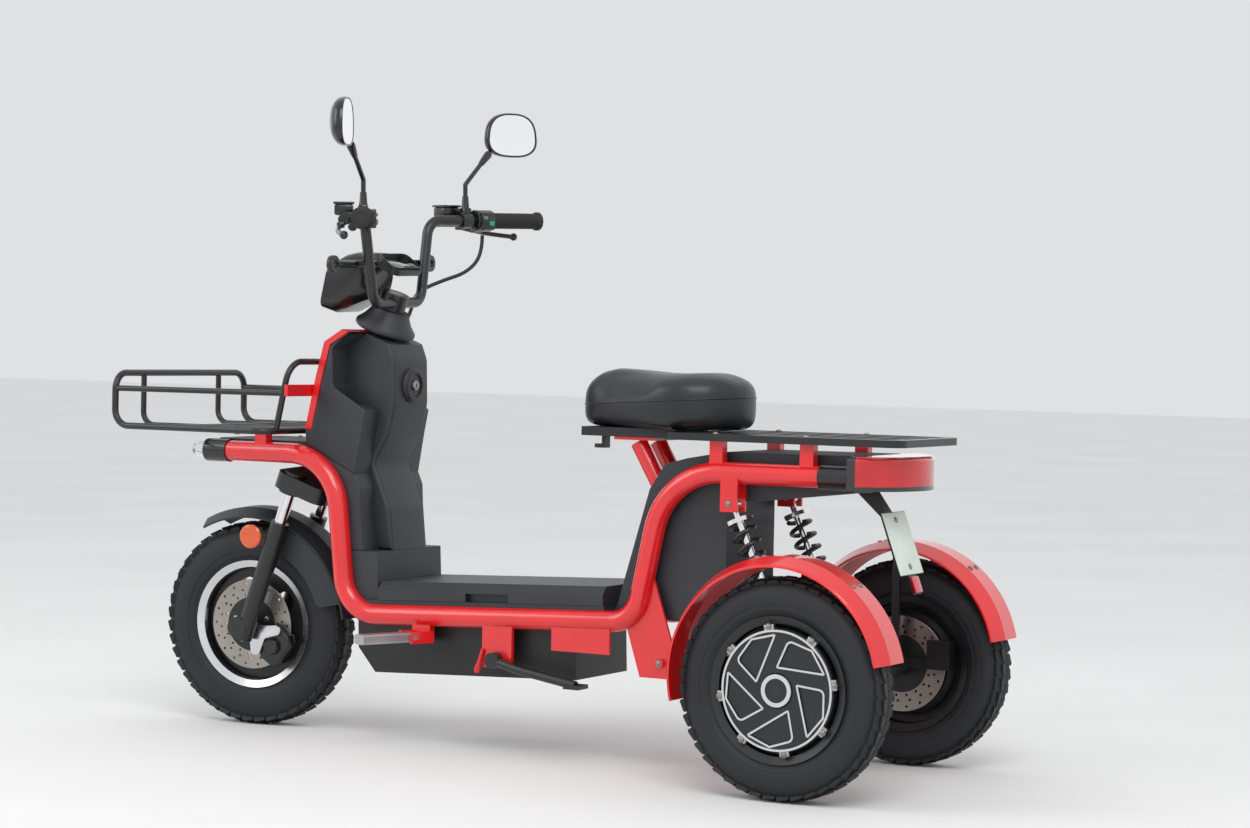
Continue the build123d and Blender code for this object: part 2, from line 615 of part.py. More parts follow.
def tail_lamp():
    front = FRAME_REAR_X - CAP_L - SEAT_GAP
    plan = Polyline((front, -148), (front, 148), (front - 22, 148)) + ThreePointArc(
        (front - 22, 148), (LAMP_REAR_X, 0), (front - 22, -148)) + Line((front - 22, -148), (front, -148))
    lamp = extrude(make_face(plan.edges()), LAMP_H / 2, both=True)
    return Pos(0, 0, LAMP_Z) * fillet(lamp.edges().filter_by(Axis.Z, reverse=True).group_by(Axis.Z)[-1], 8)


def tube_caps():
    rear = rod((FRAME_REAR_X - SEAT_GAP, TUBE_Y, TOP_Z), (FRAME_REAR_X - CAP_L, TUBE_Y, TOP_Z), CAP_R)
    front = rod((FRAME_FRONT_X + SEAT_GAP, TUBE_Y, TOP_Z), (FRAME_FRONT_X + 56, TUBE_Y, TOP_Z), CAP_R)
    return both(rear + front)


def front_lenses():
    start = FRAME_FRONT_X + 56 + SEAT_GAP
    lens = Pos(start, TUBE_Y, TOP_Z) * Rot(0, 90, 0) * Cone(CAP_R - 2, 12, 34,
                                                           align=(Align.CENTER, Align.CENTER, Align.MIN))
    return both(lens)


def under_z(x):
    (x0, z0), (x1, z1) = FAIRING[7:9]
    return z0 + (z1 - z0) * (x - x0) / (x1 - x0) - SEAT_GAP


PLATE_TILT = 20
PLATE_HALF = 55


def plate_bracket():
    place = Pos(-99, 0, 460) * Rot(0, PLATE_TILT, 0)
    back = place * Box(3, 2 * PLATE_HALF, 124)
    tab = place * Pos(0, 0, -80) * Box(3, 36, 40)
    arm = slab([(-44, under_z(-44)), (-14, under_z(-14)), (-72, 500), (-84, 500)], 16)
    return back + tab + arm


# Basket
RUNG_R = 6
RUNG_X = BASKET_FRONT_X - 150
RUNG_Y = 131


def basket():
    h, r = BASKET_HALF, BASKET_R
    rear = hoop_x(BASKET_LOW_Z)
    corners = [(rear, h, BASKET_LOW_Z), (BASKET_FRONT_X, h, BASKET_LOW_Z), (BASKET_FRONT_X, h, BASKET_TOP_Z),
               (BASKET_FRONT_X, -h, BASKET_TOP_Z), (BASKET_FRONT_X, -h, BASKET_LOW_Z), (rear, -h, BASKET_LOW_Z)]
    loop = FilletPolyline(*corners, radius=34, close=True)
    frame = sweep(Plane(origin=loop @ 0, z_dir=loop % 0) * Circle(r), path=loop)
    arch = [(rear, HOOP_HALF, BASKET_LOW_Z), (HOOP_TOP_X, HOOP_HALF, HOOP_TOP_Z),
            (HOOP_TOP_X, -HOOP_HALF, HOOP_TOP_Z), (rear, -HOOP_HALF, BASKET_LOW_Z)]
    frame += pipe(arch, 40, r - 0.5)
    for side in (-1, 1):
        rail_rear = hoop_x(BASKET_RAIL_Z)
        frame += rod((rail_rear, side * HOOP_HALF, BASKET_RAIL_Z), (BASKET_FRONT_X, side * h, BASKET_RAIL_Z),
                     RUNG_R)
        frame += pipe([(rear, side * RUNG_Y, BASKET_LOW_Z), (BASKET_FRONT_X, side * RUNG_Y, BASKET_LOW_Z),
                       (BASKET_FRONT_X, side * RUNG_Y, BASKET_TOP_Z)], 28, RUNG_R)
    frame += rod((RUNG_X, -h, BASKET_LOW_Z), (RUNG_X, h, BASKET_LOW_Z), RUNG_R - 0.5)
    return frame + rod((rear, 0, BASKET_LOW_Z), (RUNG_X, 0, BASKET_LOW_Z), RUNG_R - 1)


# Steering
COVER_LOW = HEAD_TOP + BEARING_GAP
COVER_TOP = 12


def fork_crown():
    crown = Pos(LEG_AHEAD / 2, 0, CROWN_S) * Box(LEG_AHEAD + 70, 2 * LEG_Y + 54, CROWN_H)
    crown = fillet(crown.edges().filter_by(Axis.Z), 26)
    for side in (-1, 1):
        crown += Pos(LEG_AHEAD, side * LEG_Y, CROWN_S) * Cylinder(24, 46)
        crown -= Pos(LEG_AHEAD, side * LEG_Y, CROWN_S - 40) * Cylinder(13.3, 80)
    crown += Pos(0, 0, (CROWN_S + 30) / 2) * Cylinder(STEM_R, -CROWN_S + 30)
    return STEER * crown


def fork_tubes():
    tubes = Pos(LEG_AHEAD, LEG_Y, CROWN_S - 75) * Cylinder(13, 150)
    return STEER * both(tubes)


LOWER_TOP_S = CROWN_S - 90
LOWER_R = 19
LOWER_L = -AXLE_S + LOWER_TOP_S + 22


def fork_lowers():
    leg = Pos(LEG_AHEAD, LEG_Y, LOWER_TOP_S - LOWER_L / 2) * Cylinder(LOWER_R, LOWER_L)
    leg -= Pos(LEG_AHEAD, LEG_Y, LOWER_TOP_S - 50) * Cylinder(13.3, 101)
    leg += Pos(AXLE_AHEAD, LEG_Y, AXLE_S) * Rot(90, 0, 0) * Cylinder(22, 38)
    axle = Pos(AXLE_AHEAD, 0, AXLE_S) * Rot(90, 0, 0) * Cylinder(AXLE_R, 2 * LEG_Y)
    return STEER * (both(leg) + axle)


def front_caliper():
    y = FRONT_DISC_Y + DISC_T / 2
    body = box(-DISC_R - 13, -DISC_R + 40, y - 12, y + 22, -28, 28)
    body -= box(-DISC_R - 5, 0, y - DISC_T / 2 - 2, y + DISC_T / 2 + 2, -50, 50)
    body += box(-DISC_R + 36, -12, y + 12, LEG_Y - LOWER_R - SEAT_GAP, -12, 28)
    return STEER * Pos(AXLE_AHEAD, 0, AXLE_S) * body


def front_fender():
    shell = Pos(WHEELBASE, 0, FRONT_TYRE_R) * fender(248, 56, 18, 62, 112)
    stay = box(LEG_AHEAD - 10, LEG_AHEAD + 10, 53, LEG_Y - LOWER_R - SEAT_GAP, AXLE_S + 195, AXLE_S + 229)
    return shell + STEER * both(stay)


def handlebar():
    side = [(BAR_END_X, BAR_HALF, BAR_Z), (RISER_X, RISER_HALF, BAR_Z), (RISER_X, RISER_LOW_HALF, RISER_LOW_Z)]
    other = [(x, -y, z) for x, y, z in reversed(side)]
    bar = pipe(side + other, [38, 34, 34, 38], BAR_R)
    clamp = STEER * Pos(0, 0, COVER_TOP + 0.3 + 18) * Cylinder(28, 36)
    return bar + clamp - STEER * Pos(0, 0, 0) * Cylinder(STEM_R, 60)


def bar_point(share, side):
    x = RISER_X + (BAR_END_X - RISER_X) * share
    return (x, side * (RISER_HALF + (BAR_HALF - RISER_HALF) * share), BAR_Z)


BAR_L = hypot(BAR_END_X - RISER_X, BAR_HALF - RISER_HALF)


def grips():
    grip = rod(bar_point(1 - GRIP_L / BAR_L, 1), bar_point(1.01, 1), GRIP_R)
    grip -= rod(bar_point(0.3, 1), bar_point(1, 1), BAR_R)
    return both(grip)


POD_R = 23


def bar_controls():
    inner = 1 - (GRIP_L + 46) / BAR_L
    pod = rod(bar_point(inner, 1), bar_point(1 - (GRIP_L + 1) / BAR_L, 1), POD_R)
    perch = rod(bar_point(inner - 0.12, 1), bar_point(inner - 0.005, 1), 17)
    x, y, z = bar_point(inner - 0.06, 1)
    perch += box(x, x + 46, y - 30, y + 14, z - 14, z + 20)
    lever_start = (x + 40, y + 6, z - 8)
    lever = pipe([lever_start, (x + 14, y + 90, z - 20), (x - 36, y + 176, z - 26)], 60, 6)
    return both(pod + perch + lever - rod(bar_point(0.05, 1), bar_point(0.99, 1), BAR_R))


def mirror_frame(side):
    return Pos(968, side * 372, MIRROR_Z) * Rot(0, 0, side * 20)


def mirrors():
    x, y, z = bar_point(0.42, 1)
    stalk = pipe([(x, y, z + POD_R + SEAT_GAP), (x, y, 1150), (985, 330, 1235)], 40, 5)
    bowl = mirror_frame(1) * Pos(8, 0, 0) * Rot(0, 90, 0) * extrude(Ellipse(MIRROR_H / 2, MIRROR_W / 2), 13, both=True)
    return both(stalk + bowl)


def mirror_glass():
    pane = mirror_frame(1) * Pos(-6.3, 0, 0) * Rot(0, 90, 0) * extrude(
        Ellipse(MIRROR_H / 2 - 6, MIRROR_W / 2 - 6), 1, both=True)
    return both(pane)


def stem_cover():
    height = COVER_TOP - COVER_LOW
    cover = Cone(62, 46, height) - Pos(0, 0, -4) * Cone(58, 42, height)
    return STEER * Pos(0, 0, (COVER_TOP + COVER_LOW) / 2) * (cover - Cylinder(STEM_R, 80))


LAMP_FACE = [(1190, 896), (1172, 975)]
EAR_BAR_X = STEER_X + 16
EAR_BAR_Z = STEER_Z + 106
EAR_BAR_HALF = 217


def headlamp():
    profile = [(1128, 884), (1160, 880)] + LAMP_FACE + [(1130, 1012), (1092, 1012), (1086, 940), (1104, 915)]
    lamp = slab(profile, 74)
    lamp += disc_y(8, -EAR_BAR_HALF, EAR_BAR_HALF, EAR_BAR_X, EAR_BAR_Z)
    share = (EAR_BAR_Z - RISER_LOW_Z) / (BAR_Z - RISER_LOW_Z)
    riser_y = RISER_LOW_HALF + (RISER_HALF - RISER_LOW_HALF) * share
    for side in (-1, 1):
        lamp += box(RISER_X + BAR_R + SEAT_GAP, EAR_BAR_X, side * riser_y - 9, side * riser_y + 9,
                    EAR_BAR_Z - 8, EAR_BAR_Z + 8)
    return lamp


def headlamp_lens():
    (x0, z0), (x1, z1) = LAMP_FACE
    length = hypot(x1 - x0, z1 - z0)
    lean = degrees(atan2(x0 - x1, z1 - z0))
    return Pos((x0 + x1) / 2, 0, (z0 + z1) / 2) * Rot(0, -lean, 0) * Pos(2 + SEAT_GAP, 0, 0) * Box(4, 110, length - 18)


def instrument_pod():
    pod = Rot(0, -24, 0) * Box(52, 120, 20)
    front = pod.bounding_box().max.X
    return Pos(EAR_BAR_X - 8 - SEAT_GAP - front, 0, EAR_BAR_Z) * pod


# Stand and footrests
def side_stand():
    leg = pipe([(STAND_X, STAND_Y, STAND_Z), (STAND_X - 60, STAND_Y + 6, STAND_Z - 14),
                (STAND_X - 196, STAND_Y + 14, STAND_Z - 34)], 40, 9)
    leg += disc_y(16, TUBE_Y + 14 + SEAT_GAP, STAND_Y + 10, STAND_X, STAND_Z)
    leg += disc_y(STAND_PIN_R, TUBE_Y + 5, STAND_Y, STAND_X, STAND_Z)
    leg += Pos(STAND_X - 196, STAND_Y + 14, STAND_Z - 36) * Box(34, 40, 8)
    return leg


def footpeg(left):
    peg = box(-PEG_HALF, PEG_HALF, -10, PEG_L, -10, 10)
    peg = fillet(peg.edges().filter_by(Axis.Y), 6)
    peg += Rot(0, 90, 0) * Cylinder(PIN_R, 2 * (PEG_HALF + EAR_T))
    return PEG_FRAME * peg if left else mirror(PEG_FRAME * peg, Plane.XZ)


save("frame_left", side_frame(True))
save("frame_right", side_frame(False))
save("frame_cross", cross_frame())
save("swing_arm", swing_arm())
save("axle_beam", axle_beam())
save("dampers", damper(1) + damper(-1))
save("springs", coil(1) + coil(-1))
for side_name, is_left in (("left", True), ("right", False)):
    save(f"rear_tyre_{side_name}", rear_place(tyre(REAR_TYRE_R), is_left))
    save(f"rear_wheel_{side_name}", rear_place(motor_wheel(), is_left))
    save(f"rear_disc_{side_name}", rear_place(brake_disc(REAR_DISC_Y), is_left))
    save(f"rear_fender_{side_name}", rear_fender(is_left))
    save(f"footpeg_{side_name}", footpeg(is_left))
save("leg_shield", shield())
save("front_panel", front_panel())
save("front_deck", front_deck())
save("floor_tray", floor_tray())
save("floor_lid", floor_lid())
save("battery_tub", battery_tub())
save("battery", battery())
save("rear_fairing", rear_fairing())
save("seat_post", seat_post())
save("seat_pan", seat_pan())
save("seat", seat())
save("rear_rack", rear_rack())
save("tail_lamp", tail_lamp())
save("tube_caps", tube_caps())
save("front_lenses", front_lenses())
save("plate_bracket", plate_bracket())
save("front_basket", basket())
save("side_stand", side_stand())
front_wheel = Pos(WHEELBASE, 0, FRONT_TYRE_R)
save("front_tyre", front_wheel * tyre(FRONT_TYRE_R), True)
save("front_rim", front_wheel * front_rim(), True)
save("front_disc", front_wheel * brake_disc(FRONT_DISC_Y), True)
for part_name, part in [("fork_crown", fork_crown()), ("fork_tubes", fork_tubes()), ("fork_lowers", fork_lowers()),
                        ("front_caliper", front_caliper()), ("front_fender", front_fender()),
                        ("handlebar", handlebar()), ("grips", grips()), ("bar_controls", bar_controls()),
                        ("mirrors", mirrors()), ("mirror_glass", mirror_glass()), ("stem_cover", stem_cover()),
                        ("headlamp", headlamp()), ("headlamp_lens", headlamp_lens()),
                        ("instrument_pod", instrument_pod())]:
    save(part_name, part, True)
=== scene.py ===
# %% [markdown]
# # An electric three-wheeled cargo scooter
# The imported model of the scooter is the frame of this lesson. Every metal tube, panel and wheel is already
# in its real place, so the work here is finish: paint, plastic, rubber and glass, and the small or soft
# pieces that a solid modeller leaves plain. All lengths are in metres, with +X to the front of the
# scooter, +Y to the rider's left and +Z up.

# %% Load the model
from math import atan, atan2, cos, hypot, pi, radians, sin, tan

import bmesh
import bpy
from mathutils import Matrix, Vector


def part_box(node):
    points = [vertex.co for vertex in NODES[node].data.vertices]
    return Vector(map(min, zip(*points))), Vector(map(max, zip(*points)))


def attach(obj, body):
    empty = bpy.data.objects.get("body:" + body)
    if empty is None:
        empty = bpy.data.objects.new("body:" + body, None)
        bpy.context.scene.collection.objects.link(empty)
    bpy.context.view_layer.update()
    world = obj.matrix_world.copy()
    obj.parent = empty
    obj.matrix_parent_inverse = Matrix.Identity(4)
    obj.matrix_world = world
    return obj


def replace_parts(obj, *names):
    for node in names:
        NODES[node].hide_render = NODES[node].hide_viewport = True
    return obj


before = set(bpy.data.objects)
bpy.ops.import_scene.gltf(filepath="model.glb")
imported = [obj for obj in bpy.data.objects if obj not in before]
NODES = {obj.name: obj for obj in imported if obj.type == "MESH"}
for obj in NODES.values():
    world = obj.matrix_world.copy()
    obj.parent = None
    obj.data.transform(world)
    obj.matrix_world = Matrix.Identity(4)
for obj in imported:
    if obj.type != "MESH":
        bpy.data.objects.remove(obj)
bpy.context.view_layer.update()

# %% [markdown]
# ## Camera
# The photograph was taken from behind and to the left, at waist height and from about six metres away,
# so the lens is long and the wheels show little perspective. The camera is placed from a fit to the
# wheels and tubes: where it stands, which way it looks, and how far it is rolled.

# %% Camera
CAMERA_AT = Vector((-2.9775, 5.073, 0.839))
YAW, PITCH, ROLL = radians(28.784), radians(1.510), radians(1.196)
LENS_MM = 83.95

scene = bpy.context.scene
look = Vector((sin(YAW) * cos(PITCH), -cos(YAW) * cos(PITCH), -sin(PITCH)))
level = look.cross(Vector((0, 0, 1))).normalized()
above = level.cross(look)
right = cos(ROLL) * level + sin(ROLL) * above
top = -sin(ROLL) * level + cos(ROLL) * above
bpy.ops.object.camera_add(location=CAMERA_AT)
camera = bpy.context.object
camera.matrix_world = Matrix.Translation(CAMERA_AT) @ Matrix((right, top, -look)).transposed().to_4x4()
camera.data.lens = LENS_MM
scene.camera = camera
scene.view_settings.view_transform = "Standard"
print("camera at", [round(value, 3) for value in CAMERA_AT], "lens", LENS_MM)

# %% [markdown]
# ## Places
# Drawings of the scooter measure from the floor point under the rear axle, in millimetres, while the frame
# has its origin under the middle. One function turns the first into the second, and one makes a shift from
# millimetres. The handlebar, fork and front wheel are drawn straight ahead and then turned to their rest
# angle about the leaning stem.

# %% Places on the scooter
MM = 0.001
MID_X = 0.6935
CASTER, STEER_REST = radians(20), radians(5.8)
WHEELBASE, HALF_TRACK = 1375, 287
REAR_R, FRONT_R = 205, 216


def spot(x, y, z):
    return Vector((x * MM - MID_X, y * MM, z * MM))


def offset(x, y, z):
    return Matrix.Translation(Vector((x, y, z)) * MM)


STEER_AT = spot(1066, 0, 875)
STEER_AXIS = Vector((-sin(CASTER), 0, cos(CASTER)))
TURN = (Matrix.Translation(STEER_AT) @ Matrix.Rotation(STEER_REST, 4, STEER_AXIS)
        @ Matrix.Translation(-STEER_AT))
OTHER_SIDE = Matrix.Scale(-1, 4, (0, 1, 0))
ALONG_Y = Matrix.Rotation(radians(-90), 4, "X")
FRONT_WHEEL = TURN @ Matrix.Translation(spot(WHEELBASE, 0, FRONT_R))
LEFT_WHEEL = Matrix.Translation(spot(0, HALF_TRACK, REAR_R))
RIGHT_WHEEL = OTHER_SIDE @ LEFT_WHEEL
print("front wheel at", [round(value, 4) for value in FRONT_WHEEL.translation])

# %% [markdown]
# ## Materials
# A finish is built from what it is in life. One function turns a colour picked in sRGB into the linear
# numbers that a shader needs, and one adds a node with its settings and links. Patterns read Object
# coordinates, which are metres here, so a grain of one millimetre is a scale of 1000.

# %% Colour and node helpers
def linear(hex_colour):
    channels = [int(hex_colour[i:i + 2], 16) / 255 for i in (1, 3, 5)]
    return [c / 12.92 if c <= 0.04045 else ((c + 0.055) / 1.055) ** 2.4 for c in channels] + [1]


def add_node(material, kind, settings=None, links=None):
    node = material.node_tree.nodes.new(kind)
    for key, value in (settings or {}).items():
        if isinstance(key, int) or key in node.inputs:
            node.inputs[key].default_value = value
        else:
            setattr(node, key, value)
    for key, source in (links or {}).items():
        material.node_tree.links.new(source, node.inputs[key])
    return node


def per_mm(size):
    return 1000 / size


# %% [markdown]
# A surface is rarely one flat colour. This function gives any finish a broad, faint change of tone and a
# fine bump: the tone is what dust and handling do, and the bump is how the surface was made. The grain
# size is the distance between its bumps in millimetres.

# %% A shared recipe for coated and moulded surfaces
COAT_ROUGH = 0.06


def surface(name, colour, worn, rough, grain_mm=1.0, bump_mm=0.02, tone_mm=90.0, metallic=0.0, coat=0.0,
            cells=False):
    material = bpy.data.materials.new(name)
    material.use_nodes = True
    shader = material.node_tree.nodes["Principled BSDF"]
    place = add_node(material, "ShaderNodeTexCoord").outputs["Object"]
    tone = add_node(material, "ShaderNodeTexNoise", {"Scale": per_mm(tone_mm), "Detail": 5},
                    {"Vector": place})
    span = add_node(material, "ShaderNodeMapRange", {"From Min": 0.35, "From Max": 0.7},
                    {"Value": tone.outputs[0]})
    mix = add_node(material, "ShaderNodeMix", {"data_type": "RGBA", 6: linear(colour), 7: linear(worn)},
                   {0: span.outputs[0]})
    gloss = add_node(material, "ShaderNodeMapRange", {"To Min": rough * 0.9, "To Max": min(1, rough * 1.15)},
                     {"Value": tone.outputs[0]})
    kind = "ShaderNodeTexVoronoi" if cells else "ShaderNodeTexNoise"
    grain = add_node(material, kind, {"Scale": per_mm(grain_mm)}, {"Vector": place})
    bump = add_node(material, "ShaderNodeBump", {"Strength": 0.6, "Distance": bump_mm * MM},
                    {"Height": grain.outputs[0]})
    link = material.node_tree.links.new
    link(mix.outputs[2], shader.inputs["Base Color"])
    link(gloss.outputs[0], shader.inputs["Roughness"])
    link(bump.outputs[0], shader.inputs["Normal"])
    shader.inputs["Metallic"].default_value = metallic
    shader.inputs["Coat Weight"].default_value = coat
    shader.inputs["Coat Roughness"].default_value = COAT_ROUGH
    return material


# %% [markdown]
# **Powder coat.** The frame, mudguards and brackets are steel under a thick, glossy red powder coat. It
# flows out with a faint orange peel, so the highlight is sharp but slightly broken. The black basket and
# rack have a satin coat of the same kind. **Moulded plastic.** The leg shield, floor and rear cover are
# polypropylene from a grained mould, so they stay matt and turn grey where light grazes them. The pods and
# the lamp's shell are ABS from a smooth mould, in satin and in gloss. **Rubber and vinyl.** The tyres are
# dull rubber, the grips a finer one, and the saddle's vinyl has a pressed leather grain that shines softly.

# %% Paints and plastics
red_powder_coat = surface("red_powder_coat", "#E3161C", "#D81218", 0.3, 2.5, 0.03, coat=0.8)
black_powder_coat = surface("black_powder_coat", "#0F1012", "#17181A", 0.38, 2.0, 0.04, coat=0.25)
grained_polypropylene = surface("grained_polypropylene", "#272A2F", "#2E3136", 0.48, 0.9, 0.05, cells=True)
black_abs = surface("black_abs", "#121315", "#1A1B1E", 0.42, 1.2, 0.03)
gloss_abs = surface("gloss_abs", "#101012", "#17181A", 0.24, 3.0, 0.02, coat=0.3)
tyre_rubber = surface("tyre_rubber", "#14161A", "#1D1F23", 0.62, 1.6, 0.1, 70)
grip_rubber = surface("grip_rubber", "#161617", "#1D1D1E", 0.6, 1.0, 0.08)
saddle_vinyl = surface("saddle_vinyl", "#1A1C20", "#212328", 0.36, 1.1, 0.1, cells=True)
battery_grey = surface("battery_grey", "#2A2B2D", "#313235", 0.5, 1.4, 0.03)

# %% [markdown]
# **Metals.** The footrests and the lugs of the motor covers are cast aluminium, which is cloudy. The bracket
# of the front caliper is polished, so it mirrors its surroundings in broad streaks. The fork and damper rods
# are hard chrome, the mirrors are silvered glass, the valves are brass and the screws are zinc plated.

# %% Metals
cast_aluminium = surface("cast_aluminium", "#B9BABC", "#A3A4A6", 0.36, 1.5, 0.08, metallic=1)
polished_aluminium = surface("polished_aluminium", "#DADBDD", "#CBCCCF", 0.22, 2.5, 0.02, metallic=1)
hard_chrome = surface("hard_chrome", "#E6E7E9", "#DCDDDF", 0.1, 4.0, 0.01, metallic=1)
mirror_silver = surface("mirror_silver", "#F4F6F7", "#EEF0F2", 0.02, 8.0, 0.001, metallic=1)
zinc_plate = surface("zinc_plate", "#9C9A92", "#7E7C75", 0.34, 1.2, 0.04, 30, metallic=1)
brass = surface("brass", "#C99B3F", "#AE8434", 0.3, 1.2, 0.03, 30, metallic=1)

# %% [markdown]
# **Lamps and small colours.** Lenses are moulded acrylic: clear ones pass light, and the red and amber ones
# carry their colour in a thick, glossy body with fine prisms. The number plate is a plain reflective sheet.

# %% Lenses, glass and small coloured plastics
reflector_red = surface("reflector_red", "#C8121A", "#B00D14", 0.14, 3.0, 0.25, coat=1.0, cells=True)
reflector_amber = surface("reflector_amber", "#DC5600", "#CC4C00", 0.2, 3.0, 0.25, coat=1.0, cells=True)
clear_acrylic = surface("clear_acrylic", "#F4F6F8", "#EAEDF0", 0.05, 5.0, 0.01)
clear_acrylic.node_tree.nodes["Principled BSDF"].inputs["Transmission Weight"].default_value = 0.85
display_glass = surface("display_glass", "#0A0C0E", "#101316", 0.08, 6.0, 0.005, coat=1.0)
plate_sheet = surface("plate_sheet", "#DDE8DC", "#D2DED2", 0.35, 1.2, 0.02, 40, cells=True)
green_button = surface("green_button", "#14A66A", "#0F9660", 0.3, 2.0, 0.02, 20)
grey_button = surface("grey_button", "#77797C", "#6B6D70", 0.4, 2.0, 0.02, 20)
red_rubber = surface("red_rubber", "#D63238", "#C6282E", 0.5, 1.5, 0.05, 30)


# %% [markdown]
# Some parts leave the factory in two finishes: the motor cover is black with its raised ribs turned bright,
# a disc is ground where the pads run and black on its carrier, the front rim is bright at its flange and
# black on its spokes, and the tail lamp's lens sits in a black collar. A mask, worked out from Object
# coordinates, mixes the second finish over the first.

# %% Two finishes on one part
def overlay(material, mask, colour, rough, metallic=0.0):
    shader = material.node_tree.nodes["Principled BSDF"]
    link = material.node_tree.links.new
    under = shader.inputs["Base Color"].links[0].from_socket
    paint = add_node(material, "ShaderNodeMix", {"data_type": "RGBA", 7: linear(colour)}, {0: mask, 6: under})
    link(paint.outputs[2], shader.inputs["Base Color"])
    under = shader.inputs["Roughness"].links[0].from_socket
    gloss = add_node(material, "ShaderNodeMix", {3: rough}, {0: mask, 2: under})
    link(gloss.outputs[0], shader.inputs["Roughness"])
    before = shader.inputs["Metallic"].default_value
    metal = add_node(material, "ShaderNodeMix", {2: before, 3: metallic}, {0: mask})
    link(metal.outputs[0], shader.inputs["Metallic"])
    return material


# %% [markdown]
# A mask is 1 where the second finish lies and 0 elsewhere. Comparing a point's place with a limit gives one,
# and the lower of two masks is 1 only where both are. On a wheel the limit is a distance from the axle, so
# the wheel's own place is taken off first.

# %% Masks
def compare(material, operation, value, source):
    return add_node(material, "ShaderNodeMath", {"operation": operation, 1: value}, {0: source}).outputs[0]


def both_true(material, first, second):
    return add_node(material, "ShaderNodeMath", {"operation": "MINIMUM"}, {0: first, 1: second}).outputs[0]


def position(material):
    return add_node(material, "ShaderNodeTexCoord").outputs["Object"]


def axis_of(material, name):
    return add_node(material, "ShaderNodeSeparateXYZ", links={0: position(material)}).outputs[name]


def from_axle(material, wheel):
    on_wheel = add_node(material, "ShaderNodeMapping",
                        {"vector_type": "TEXTURE", "Location": wheel.translation,
                         "Rotation": wheel.to_euler()}, {"Vector": position(material)})
    flat = add_node(material, "ShaderNodeVectorMath", {"operation": "MULTIPLY", 1: (1, 0, 1)},
                    {0: on_wheel.outputs[0]})
    distance = add_node(material, "ShaderNodeVectorMath", {"operation": "LENGTH"}, {0: flat.outputs[0]})
    return distance.outputs["Value"]


# %% Motor cover
COVER_FACE_Y, RIB_STANDS, COVER_EDGE_R, AXLE_NUT_R = 0.325, 0.0006, 0.123, 0.0222
motor_enamel = surface("motor_enamel", "#17181A", "#202123", 0.36, 1.6, 0.05)
out = compare(motor_enamel, "ABSOLUTE", 0, axis_of(motor_enamel, "Y"))
raised = compare(motor_enamel, "GREATER_THAN", COVER_FACE_Y + RIB_STANDS, out)
cover_only = compare(motor_enamel, "LESS_THAN", COVER_EDGE_R, from_axle(motor_enamel, LEFT_WHEEL))
past_nut = compare(motor_enamel, "GREATER_THAN", AXLE_NUT_R, from_axle(motor_enamel, LEFT_WHEEL))
bright = both_true(motor_enamel, raised, both_true(motor_enamel, cover_only, past_nut))
overlay(motor_enamel, bright, "#D4D5D6", 0.27, 1.0)

# %% Discs, front rim and tail lamp
DISC_CARRIER_R, RIM_FLANGE_R = 0.057, 0.119
COLLAR_X, COLLAR_Z = spot(-66, 0, 0).x, 0.5705


def disc_steel(name, wheel):
    steel = surface(name, "#A8A39B", "#96918A", 0.36, 0.8, 0.04, metallic=1)
    carrier = compare(steel, "LESS_THAN", DISC_CARRIER_R, from_axle(steel, wheel))
    return overlay(steel, carrier, "#17181A", 0.4)


front_disc_steel = disc_steel("front_disc_steel", FRONT_WHEEL)
rear_disc_steel = disc_steel("rear_disc_steel", LEFT_WHEEL)

rim_enamel = surface("rim_enamel", "#DADBDD", "#CBCCCF", 0.22, 2.5, 0.02, metallic=1)
spokes = compare(rim_enamel, "LESS_THAN", RIM_FLANGE_R, from_axle(rim_enamel, FRONT_WHEEL))
overlay(rim_enamel, spokes, "#1B1C1E", 0.38)

tail_lens = surface("tail_lens", "#D2141B", "#B80E14", 0.12, 6.0, 0.3, coat=1.0, cells=True)
for kind, limit, axis in (("GREATER_THAN", COLLAR_X, "X"), ("LESS_THAN", COLLAR_Z, "Z")):
    overlay(tail_lens, compare(tail_lens, kind, limit, axis_of(tail_lens, axis)), "#161618", 0.35)
print("finishes", len(bpy.data.materials))

# %% [markdown]
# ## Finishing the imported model
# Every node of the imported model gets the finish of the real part. The tyres, discs, grips, mirrors, lamp,
# pods, leg shield and saddle get it too, although pieces with more detail replace them further on.

# %% Finish of each node
NODE_FINISH = {
    red_powder_coat: ["frame_left", "frame_right", "frame_cross", "swing_arm", "rear_fender_left",
                      "rear_fender_right", "front_panel", "seat_post"],
    black_powder_coat: ["axle_beam", "springs", "rear_rack", "front_basket", "side_stand", "fork_crown",
                        "fork_lowers", "handlebar", "front_caliper"],
    grained_polypropylene: ["leg_shield", "front_deck", "floor_tray", "floor_lid", "rear_fairing",
                            "front_fender", "stem_cover"],
    black_abs: ["battery_tub", "seat_pan", "plate_bracket", "instrument_pod"],
    battery_grey: ["battery"],
    gloss_abs: ["tube_caps", "headlamp", "bar_controls", "mirrors"],
    tyre_rubber: ["rear_tyre_left", "rear_tyre_right", "front_tyre"],
    grip_rubber: ["grips"],
    saddle_vinyl: ["seat"],
    cast_aluminium: ["footpeg_left", "footpeg_right"],
    rim_enamel: ["front_rim"],
    rear_disc_steel: ["rear_disc_left", "rear_disc_right"],
    front_disc_steel: ["front_disc"],
    hard_chrome: ["dampers", "fork_tubes"],
    mirror_silver: ["mirror_glass"],
    motor_enamel: ["rear_wheel_left", "rear_wheel_right"],
    tail_lens: ["tail_lamp"],
    clear_acrylic: ["front_lenses", "headlamp_lens"],
}
for finish, names in NODE_FINISH.items():
    for name in names:
        data = NODES[name].data
        data.materials.clear()
        data.materials.append(finish)
print("finished nodes", sum(len(names) for names in NODE_FINISH.values()), "of", len(NODES))

